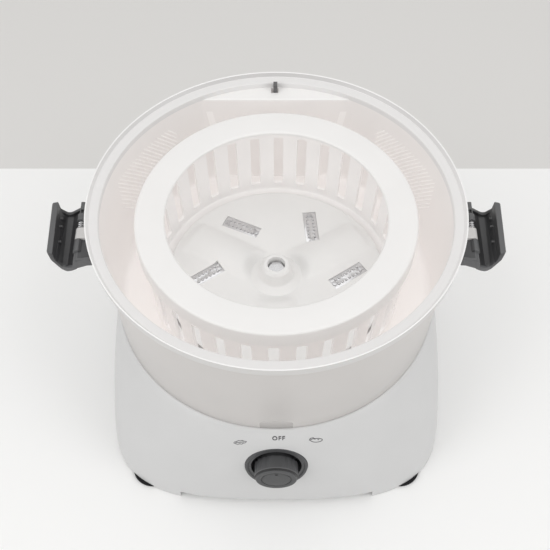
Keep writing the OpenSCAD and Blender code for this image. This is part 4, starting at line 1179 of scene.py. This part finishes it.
print("knob")
knob = {
    "boreR": 3,
    "neckR": 11,
    "backY": 114.9,
    "flutes": 20,
    "fluteDepth": 0.55,
    "fluteHalfAngle": 4.6,
    "flatWidth": 6.6,
    "band": 3.6,
    "stepDepth": 1.7,
    "stepIn": 0.7,
    "ringR": 9.3,
    "ringDepth": 0.5,
    "faceDepth": 0.05,
    "dimpleUp": 7.4,
    "dimpleR": 1.1,
    "steps": 320,
}
knobR = (knobHigh.x - knobLow.x) / 2
knobLength = knobHigh.y - knobLow.y
knobBack = knob["backY"] + knobHigh.y
faceZ = knobLength - knob["faceDepth"]
knobCap = lathe("knobCap", rounded([
    (knob["boreR"], 0, 0),
    (knob["neckR"], 0, 0.4),
    (knob["neckR"], knobBack, 0.2),
    (knobR, knobBack, 0.3),
    (knobR, knobLength - knob["band"], 0),
    (knobR, knobLength - knob["stepDepth"], 0.3),
    (knobR - knob["stepIn"], knobLength - knob["stepDepth"] + 0.4, 0.2),
    (knobR - knob["stepIn"], knobLength - 0.5, 0),
    (knobR - knob["stepIn"] - 0.4, knobLength, 0.2),
    (knob["ringR"] + 0.5, knobLength, 0.1),
    (knob["ringR"] + 0.3, knobLength - knob["ringDepth"], 0.1),
    (knob["ringR"], knobLength - knob["ringDepth"], 0.1),
    (knob["ringR"] - 0.2, faceZ, 0.1),
    (2, faceZ, 0),
], loop=False), knob["steps"], loop=False)
flatUp = math.sqrt(knobR ** 2 - (knob["flatWidth"] / 2) ** 2)
for vertex in knobCap.data.vertices:
    radius = vertex.co.xy.length / mm
    if vertex.co.z / mm > knobLength - knob["band"] - 0.1 or radius < knobR - 1:
        continue
    turn = math.degrees(math.atan2(vertex.co.x, vertex.co.y)) * knob["flutes"] / 360 + 0.5
    away = abs(turn - round(turn)) * 360 / knob["flutes"] / knob["fluteHalfAngle"]
    if away < 1:
        vertex.co.xy *= 1 - knob["fluteDepth"] * (1 - away * away) / radius
    if abs(vertex.co.x) < knob["flatWidth"] / 2 * mm and vertex.co.y > 0:
        vertex.co.y = flatUp * mm
dimpleSpot = (0, knob["dimpleUp"] * mm, faceZ * mm)
bpy.ops.mesh.primitive_uv_sphere_add(
    segments=24, ring_count=12, radius=knob["dimpleR"] * mm, location=dimpleSpot)
combine(knobCap, takeNew("dimple"))
place(knobCap, (90, "X"), (0, knobHigh.y, bezelAxisZ))
smooth(knobCap, 20)
finishAs(knobCap, "knob_grey", "knob")
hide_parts("knob")

grooveIn = dish["grooveR"] - dish["grooveWidth"]
knobDish = lathe("knobDish", rounded([
    (dish["shaftR"], -dish["flangeThick"], 0),
    (dish["flange"], -dish["flangeThick"], 0.4),
    (dish["flange"], 0, 0.4),
    (dish["edgeR"], 0, 0),
    (dish["edgeR"], frontDepth, 0.4),
    (dish["grooveR"], frontDepth, 0.2),
    (dish["grooveR"] - 0.3, frontDepth - dish["grooveDepth"], 0.2),
    (grooveIn, frontDepth - dish["grooveDepth"], 0.2),
    (dish["recessR"], frontDepth - dish["grooveDepth"] / 2, 0.3),
    (dish["recessR"], dish["recessFloor"], 0.3),
    (dish["shaftR"], dish["recessFloor"], 0),
], arcSteps=5), dish["steps"])
leanFront(knobDish, frontDepth - dish["leanFrom"])
editAll(knobDish)
flangeCut = (0, 0, dish["flangeTop"] * mm)
bpy.ops.mesh.bisect(plane_co=flangeCut, plane_no=(0, 0, 1), use_fill=True, clear_outer=True)
bpy.ops.object.mode_set(mode="OBJECT")
smooth(knobDish, 30)
finishAs(knobDish, "knob_grey", "base")
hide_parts("knob_bezel")

marks = {
    "textSize": 4.2,
    "textHigh": 0.82,
    "textX": 1.4,
    "textZ": 81.05,
    "textSpace": 1.18,
    "textBolder": 0.07,
    "leafX": -22.8,
    "leafZ": 75.75,
    "leafScale": (0.95, 0.68),
    "leafTilt": 0.28,
    "potatoX": 25.0,
    "potatoZ": 77.25,
    "potatoScale": (1.04, 0.68),
    "potatoTilt": -0.25,
    "thick": 0.12,
    "line": 0.5,
}


def layOnFront(piece, x, z, tilt=0.0):
    # bends a flat mark, drawn in X and Z, onto the leaning front of the base
    for vertex in piece.data.vertices:
        acrossX = vertex.co.x / mm + x
        upZ = (vertex.co.y + tilt * vertex.co.x) / mm + z
        out = vertex.co.z / mm
        vertex.co = Vector((acrossX, -baseFrontY(acrossX, upZ) - out, upZ)) * mm
    closeMesh(piece, False)
    return smooth(piece)


def strokeMark(name, path, closed, scale):
    # a band of even width along a path of points, raised by its thickness
    points = [(x * scale[0], y * scale[1], 0) for x, y in path]
    mark = wireAlong(name, points, marks["line"] / 2, 1, closed)
    mark.data.transform(Matrix.Scale(marks["thick"] * 2 / marks["line"], 4, (0, 0, 1)))
    return mark


def blob(centre, radiusX, radiusY, tilt, dent, steps=28):
    # an egg-shaped outline; dent pulls one side in
    points = []
    turn = Matrix.Rotation(math.radians(tilt), 2)
    for step in range(steps):
        angle = 2 * math.pi * step / steps
        x = radiusX * math.cos(angle) * (1 + dent * math.sin(angle))
        points.append(turn @ Vector((x, radiusY * math.sin(angle))) + Vector(centre))
    return points


bpy.ops.object.text_add()
word = bpy.context.object
word.data.body = "OFF"
word.data.size = marks["textSize"] * mm
word.data.align_x = "CENTER"
word.data.align_y = "CENTER"
word.data.space_character = marks["textSpace"]
word.data.offset = marks["textBolder"] * mm
word.data.extrude = marks["thick"] * mm
bpy.ops.object.convert(target="MESH")
word = bpy.context.object
word.name = "offMark"
closeMesh(word, False)
word.data.transform(Matrix.Scale(marks["textHigh"], 4, (0, 1, 0)))
layOnFront(word, marks["textX"], marks["textZ"])
finishAs(word, "mark_grey", "base")

# a salad leaf: a wavy outline with a rib; a potato: an egg with a curl of peel
leafOutline = [
    (-4.3, -0.2), (-3.4, 1.3), (-2.2, 1.4), (-1.2, 2.5), (0.3, 1.9), (1.6, 2.4), (2.6, 1.4), (4.4, 0.9),
    (3.6, -0.6), (2.2, -0.8), (1.2, -2.0), (-0.3, -1.4), (-1.6, -2.1), (-2.8, -1.2),
]
leafRib = [(-3.2, 0), (-1.6, 0.5), (0, -0.1), (1.4, 0.6), (2.4, 0.3)]
leafMark = joined([
    strokeMark("outline", leafOutline, True, marks["leafScale"]),
    strokeMark("rib", leafRib, False, marks["leafScale"]),
], "leafMark")
layOnFront(leafMark, marks["leafX"], marks["leafZ"], marks["leafTilt"])
finishAs(leafMark, "mark_grey", "base")
potatoMark = joined([
    strokeMark("egg", blob((0.2, -0.3), 3.6, 2.1, 8, 0.15), True, marks["potatoScale"]),
    strokeMark("peel", [(-4.2, -0.6), (-3.6, 1.6), (-1.8, 2.5), (-0.6, 0.6)], False, marks["potatoScale"]),
    strokeMark("eye", [(0.8, 0.6), (1.8, 0.5)], False, marks["potatoScale"]),
], "potatoMark")
layOnFront(potatoMark, marks["potatoX"], marks["potatoZ"], marks["potatoTilt"])
finishAs(potatoMark, "mark_grey", "base")


print("latches")
latch = {
    "wall": 2.2,
    "floorWall": 1.4,
    "dip": 11.5,
    "lipUp": 4.5,
    "openUp": 0.5,
    "knuckleR": 2.9,
    "knuckleWidth": 5,
    "frontKnuckle": 9.2,
    "room": 7.85,
    "lugClear": 0.5,
    "pinFit": 0.06,
    "softEdge": 0.35,
    "ear": [
        (1.5, 0.4, 0), (-4, 1.6, 0.5), (-8.4, 2.8, 0.5), (-9.6, -3.4, 0.5), (-6.4, -3.6, 1), (1.5, -7, 0)],
    "web": [(0.5, 1.2, 0.5), (-8.2, 1.8, 0.8), (-8.6, -3.4, 1), (0.5, -5, 0.5)],
    "pegs": [(13, -3.2), (6, -2.4), (-5.5, -3.4)],
    "pegR": 0.9,
    "rearEase": 0.3,
    "frontEase": 2.0,
    "bow": 0.5,
    "springR": 1.95,
    "springWire": 0.35,
}
latchReach = latchHigh.x - pinX
latchHalf = latchHigh.y


def alongPin(name, outline, low, high):
    # a section seen along the pin, run from low to high
    return place(prism(name, rounded(outline), high - low), (90, "X"), (0, high, 0))


def latchPlan(inset):
    # outline from above: the ends draw in towards the lip, the front corner is the rounder one
    ends = latchHalf - inset
    lip = latchHalf - 4.5 - inset
    outline = rounded([
        (-4, -ends, 0), (4, -ends, 0), (latchReach + 0.5 - inset / 2, -lip, 4.5),
        (latchReach + 0.5 - inset / 2, lip, 2), (4, ends, 0), (-4, ends, 0),
    ])
    return place(prism("plan", outline, 40), None, (0, 0, -20))


def latchBody(side, name):
    dip = latch["dip"]
    lipUp = latch["lipUp"]
    body = alongPin(name, [
        (-0.6, -1.5, 0.3), (0.6, -7.2, 1.5),
        (latchReach * 0.42, -dip, 4.5), (latchReach * 0.64, 1.2 - dip, 3),
        (latchReach * 0.9, -3.2, 3), (latchReach, lipUp - 1.2, 1), (latchReach - 0.8, lipUp, 0.5),
        (latchReach - 4, lipUp, 0.5), (latchReach - 4.7, -2.4, 2), (latchReach * 0.54, -8.6, 3.5),
        (3, -5.4, 0.8), (2, latch["openUp"], 0.5), (-0.6, latch["openUp"], 0.5),
    ], -latchHalf - 1, latchHalf + 1)
    combine(body, latchPlan(0), "INTERSECT")
    wall = latch["wall"]
    low = latch["floorWall"] - dip
    hollow = alongPin("hollow", [
        (wall - 0.2, 10, 0), (wall + 0.4, -6.4, 1), (latchReach * 0.41, low, 1.5),
        (latchReach * 0.61, low + 0.9, 1.5), (latchReach * 0.9 - 2.9, -2.6, 2), (latchReach - 3.8, 10, 0),
    ], -latchHalf, latchHalf)
    combine(hollow, latchPlan(wall), "INTERSECT")
    combine(body, hollow)
    # ear of the front end wall, knuckles and small pegs on the lip's inside
    combine(body, alongPin("ear", latch["ear"], 0.03 - latchHalf, wall - 0.05 - latchHalf), "UNION")
    room = latch["room"]
    combine(body, alongPin("web", latch["web"], 0.4 - latchHalf, 0.4 - room), "UNION")
    knuckles = ((-room - latch["frontKnuckle"], 0.7 - room), (room - 0.7, room + latch["knuckleWidth"]))
    for low, high in knuckles:
        combine(body, rod("knuckle", (0, low, 0), (0, high, 0), latch["knuckleR"], 48), "UNION")
    lip = latchReach * 0.9 - 2.9
    for y, z in latch["pegs"]:
        combine(body, rod("lipPeg", (lip - 1.8, y, z), (lip + 1.5, y, z), latch["pegR"], 20), "UNION")
    clear = latch["knuckleR"] + latch["lugClear"]
    lugRoom = [(-9, 8, 0), (-9, -8, 0), (0, -8, 0)]
    for degrees in range(-180, 181, 15):
        turn = math.radians(degrees / 2)
        lugRoom.append((clear * math.cos(turn) + 0.01, clear * math.sin(turn), 0))
    lugRoom.append((0, 8, 0))
    combine(body, alongPin("lugRoom", lugRoom, -room, room))
    pinEnd = room + latch["knuckleWidth"]
    combine(body, rod("bore", (0, -pinEnd, 0), (0, pinEnd + 5, 0), bowl["pinR"] + latch["pinFit"], 32))
    softEdges(body, latch["softEdge"])
    # the lip runs a little towards the bowl at the front
    for vertex in body.data.vertices:
        share = min(1, max(0, (vertex.co.x / mm - 4) / 10))
        toFront = 0.5 - vertex.co.y / mm / latchHalf / 2
        ease = latch["rearEase"] + (latch["frontEase"] - latch["rearEase"]) * toFront
        ease += latch["bow"] * 4 * toFront * (1 - toFront)
        vertex.co.x -= ease * share * mm
    return place(atSide(smooth(body), side), None, (side * pinX, 0, pinZ))


for side, name in ((-1, "left"), (1, "right")):
    body = "latch_" + name
    piece = finishAs(latchBody(side, "latch" + name.capitalize()), "latch_grey", body)
    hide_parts(body)
    finishAs(dress("latch_pin_" + name, "hingePin" + name.capitalize(), 0.2), "shaft_steel", "bowl")
    length = latch["room"] - 0.3 - bowl["lugBack"] - 0.2
    torsion = coil("torsionSpring" + name.capitalize(), latch["springR"], latch["springWire"], 3.5, length)
    place(torsion, (-90, "X"), (side * pinX, bowl["lugBack"] + 0.2, pinZ))
    finishAs(torsion, "shaft_steel", "bowl")


print("interlock")
pushRod = dress("interlock_rod", "pushRod", 0.25)
for vertex in pushRod.data.vertices:
    side = peg["right"] if vertex.co.x > 0 else -peg["left"]
    vertex.co.x *= side / rodHigh.x
    if vertex.co.z / mm > rodHigh.z - 1:
        vertex.co.z += (peg["top"] - rodHigh.z) * mm
finishAs(smooth(pushRod), "drive_nylon", "interlock_rod")

spring = {"wireR": 0.35, "turns": 8}
coilR = (springHigh.y - springLow.y) / 2 - spring["wireR"]
coilSpring = coil("coilSpring", coilR, spring["wireR"], spring["turns"], springHigh.z - springLow.z)
place(coilSpring, None, (0, rodY, springLow.z))
finishAs(coilSpring, "shaft_steel", "bowl")
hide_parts("rod_spring")


print("feet and gland")
foot = {
    "radius": 14,
    "brim": 2,
    "bossR": 10.9,
    "round": 0.5,
    "treads": 3,
    "treadPitch": 3.6,
    "treadDepth": 0.6,
}
footCorners = [
    (2, footHigh.z, 0), (foot["bossR"], footHigh.z, 0.4), (foot["bossR"], foot["brim"], 0),
    (foot["radius"], foot["brim"], 0.3), (foot["radius"], footLow.z, foot["round"]),
]
for tread in range(foot["treads"]):
    outside = foot["radius"] - 2.6 - tread * foot["treadPitch"]
    footCorners += [
        (outside, footLow.z, 0.2), (outside - 0.5, footLow.z + foot["treadDepth"], 0.2),
        (outside - 1.3, footLow.z + foot["treadDepth"], 0.2), (outside - 1.8, footLow.z, 0.2),
    ]
footCorners += [(2, footLow.z, 0)]
pad = lathe("pad", rounded(footCorners, loop=False), 96, loop=False)
pads = [place(copyOf(pad, "foot"), None, (x, y, 0)) for x, y in footSpots]
bpy.data.objects.remove(pad)
feet = smooth(joined(pads, "feet"))
finishAs(feet, "feet_rubber", "base")
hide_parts("rubber_feet")

gland = {"holeR": 3.5, "flangeR": 9, "stemR": 6, "flange": 2.4, "seat": 0.1}
glandIn = glandLow.y
glandOut = glandHigh.y
flangeY = shellHigh.y + gland["seat"]
glandCorners = [
    (gland["holeR"], glandIn, 0.3), (gland["flangeR"], glandIn, 0.4),
    (gland["flangeR"], glandIn + gland["flange"], 0.3), (gland["stemR"], glandIn + gland["flange"], 0),
    (gland["stemR"], flangeY, 0), (gland["flangeR"], flangeY, 0.4),
    (gland["flangeR"], flangeY + gland["flange"], 0.9), (gland["stemR"], flangeY + gland["flange"], 0.3),
    (gland["stemR"] - 0.7, glandOut, 0.5), (gland["holeR"], glandOut, 0.4),
]
cordGland = lathe("cordGland", rounded(glandCorners), 96)
place(cordGland, (-90, "X"), (0, 0, glandZ))
finishAs(smooth(cordGland), "feet_rubber", "base")
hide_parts("cord_gland")


print("inner parts")
nodesIn = {
    "inner_white": ["base_cover", "deck"],
    "screw_steel": ["cover_screws", "deck_screws", "bezel_screws", "gear_lid_screws", "motor_screws"],
    "switch_black": ["switch_body", "motor_end_cap", "interlock_switch"],
    "shaft_steel": ["switch_shaft", "output_shaft", "idler_pin", "motor_shaft", "spindle"],
    "case_grey": ["gear_case", "gear_lid"],
    "bearing_steel": ["lower_bearing", "upper_bearing"],
    "seal_rubber": ["shaft_seal", "spindle_seal"],
    "gear_nylon": ["output_gear", "idler_gear", "cooling_fan"],
    "drive_nylon": ["drive_dog", "spindle_socket"],
    "motor_steel": ["motor_can"],
    "magnet_dark": ["motor_magnets"],
    "brush_carbon": ["motor_brushes"],
    "armature_copper": ["armature"],
    "bush_brass": ["motor_pinion", "bowl_bush"],
    "board_green": ["circuit_board"],
    "capacitor_amber": ["board_capacitor"],
    "terminal_green": ["terminal_block"],
    "plunger_red": ["interlock_plunger"],
}
for slot, nodes in nodesIn.items():
    for node in nodes:
        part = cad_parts[node]
        part.data.materials.clear()
        part.data.materials.append(finishes[slot])
deckFinish = deckPlastic("deckWhite", {
    "colour": (0.78, 0.78, 0.77), "keyColour": (0.2, 0.19, 0.19), "keyInside": 98.5, "keyAbove": 79.1})
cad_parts["deck"].data.materials[0] = deckFinish


print("stage")
stage = {
    "counterColour": (0.93, 0.93, 0.925),
    "backColour": (0.72, 0.71, 0.695),
    "counterEdge": 186,
    "size": 5000,
    "thick": 20,
    "backLower": 0.5,
}


def stageFinish(name, colour):
    finish = Finish(name)
    veins = finish.noise(2.2, 6)
    patch = finish.mixColour(veins, shaded(colour, 0.985), shaded(colour, 1.015))
    return finish.surface({"Base Color": patch, "Roughness": 0.6 + veins * 0.1})


def stagePlane(name, low, high, colour):
    slab = block(name, low, high)
    slab.data.materials.append(stageFinish(name + "Finish", colour))


size = stage["size"]
edge = stage["counterEdge"]
under = -stage["thick"]
stagePlane("counter", (-size, -size, under), (size, edge, 0), stage["counterColour"])
stagePlane("backFloor", (-size, edge, under), (size, size, -stage["backLower"]), stage["backColour"])

world = bpy.data.worlds.new("softRoom")
bpy.context.scene.world = world
world.use_nodes = True
room = {"light": 0.6, "seen": 0.9, "tint": (1.0, 0.995, 0.985)}
air = NodeSet(world.node_tree)
rays = [air.node("ShaderNodeLightPath", out=ray) for ray in ("Is Camera Ray", "Is Glossy Ray")]
through = air.node("ShaderNodeLightPath", out="Is Transmission Ray")
glow = air.node("ShaderNodeBackground", None, {"Color": room["tint"], "Strength": room["light"]})
seen = air.node("ShaderNodeBackground", None, {"Color": room["tint"], "Strength": room["seen"]})
showing = rays[0].largerOf(rays[1]).largerOf(through)
blend = air.node("ShaderNodeMixShader", None, {0: showing, 1: glow, 2: seen})
air.node("ShaderNodeOutputWorld", None, {"Surface": blend}, out=None)
lamps = {
    "aim": (0, 0, 0.1),
    "top": {"spot": (0, 0.1, 1.7), "side": 1.8, "power": 6.5},
    "left": {"spot": (-1.3, -0.9, 1.0), "side": 1.0, "power": 8},
    "right": {"spot": (1.3, -0.8, 1.0), "side": 1.0, "power": 7},
}


def softLamp(name, look):
    bpy.ops.object.light_add(type="AREA", location=look["spot"])
    lamp = bpy.context.object
    lamp.name = name
    lamp.data.shape = "SQUARE"
    lamp.data.size = look["side"]
    lamp.data.energy = look["power"]
    aim = Vector(lamps["aim"]) - Vector(look["spot"])
    lamp.rotation_euler = aim.to_track_quat("-Z", "Y").to_euler()


for side in ("top", "left", "right"):
    softLamp(side + "Lamp", lamps[side])

view = {
    "spot": (0, -0.3924, 0.6488),
    "tilt": 35.66,
    "lens": 65.65,
    "shiftX": -0.0024,
    "sensor": 36,
    "near": 0.01,
}
bpy.ops.object.camera_add(location=view["spot"], rotation=(math.radians(view["tilt"]), 0, 0))
camera = bpy.context.object
camera.data.lens = view["lens"]
camera.data.sensor_width = view["sensor"]
camera.data.shift_x = view["shiftX"]
camera.data.clip_start = view["near"]
bpy.context.scene.camera = camera
bpy.context.scene.view_settings.view_transform = "Standard"
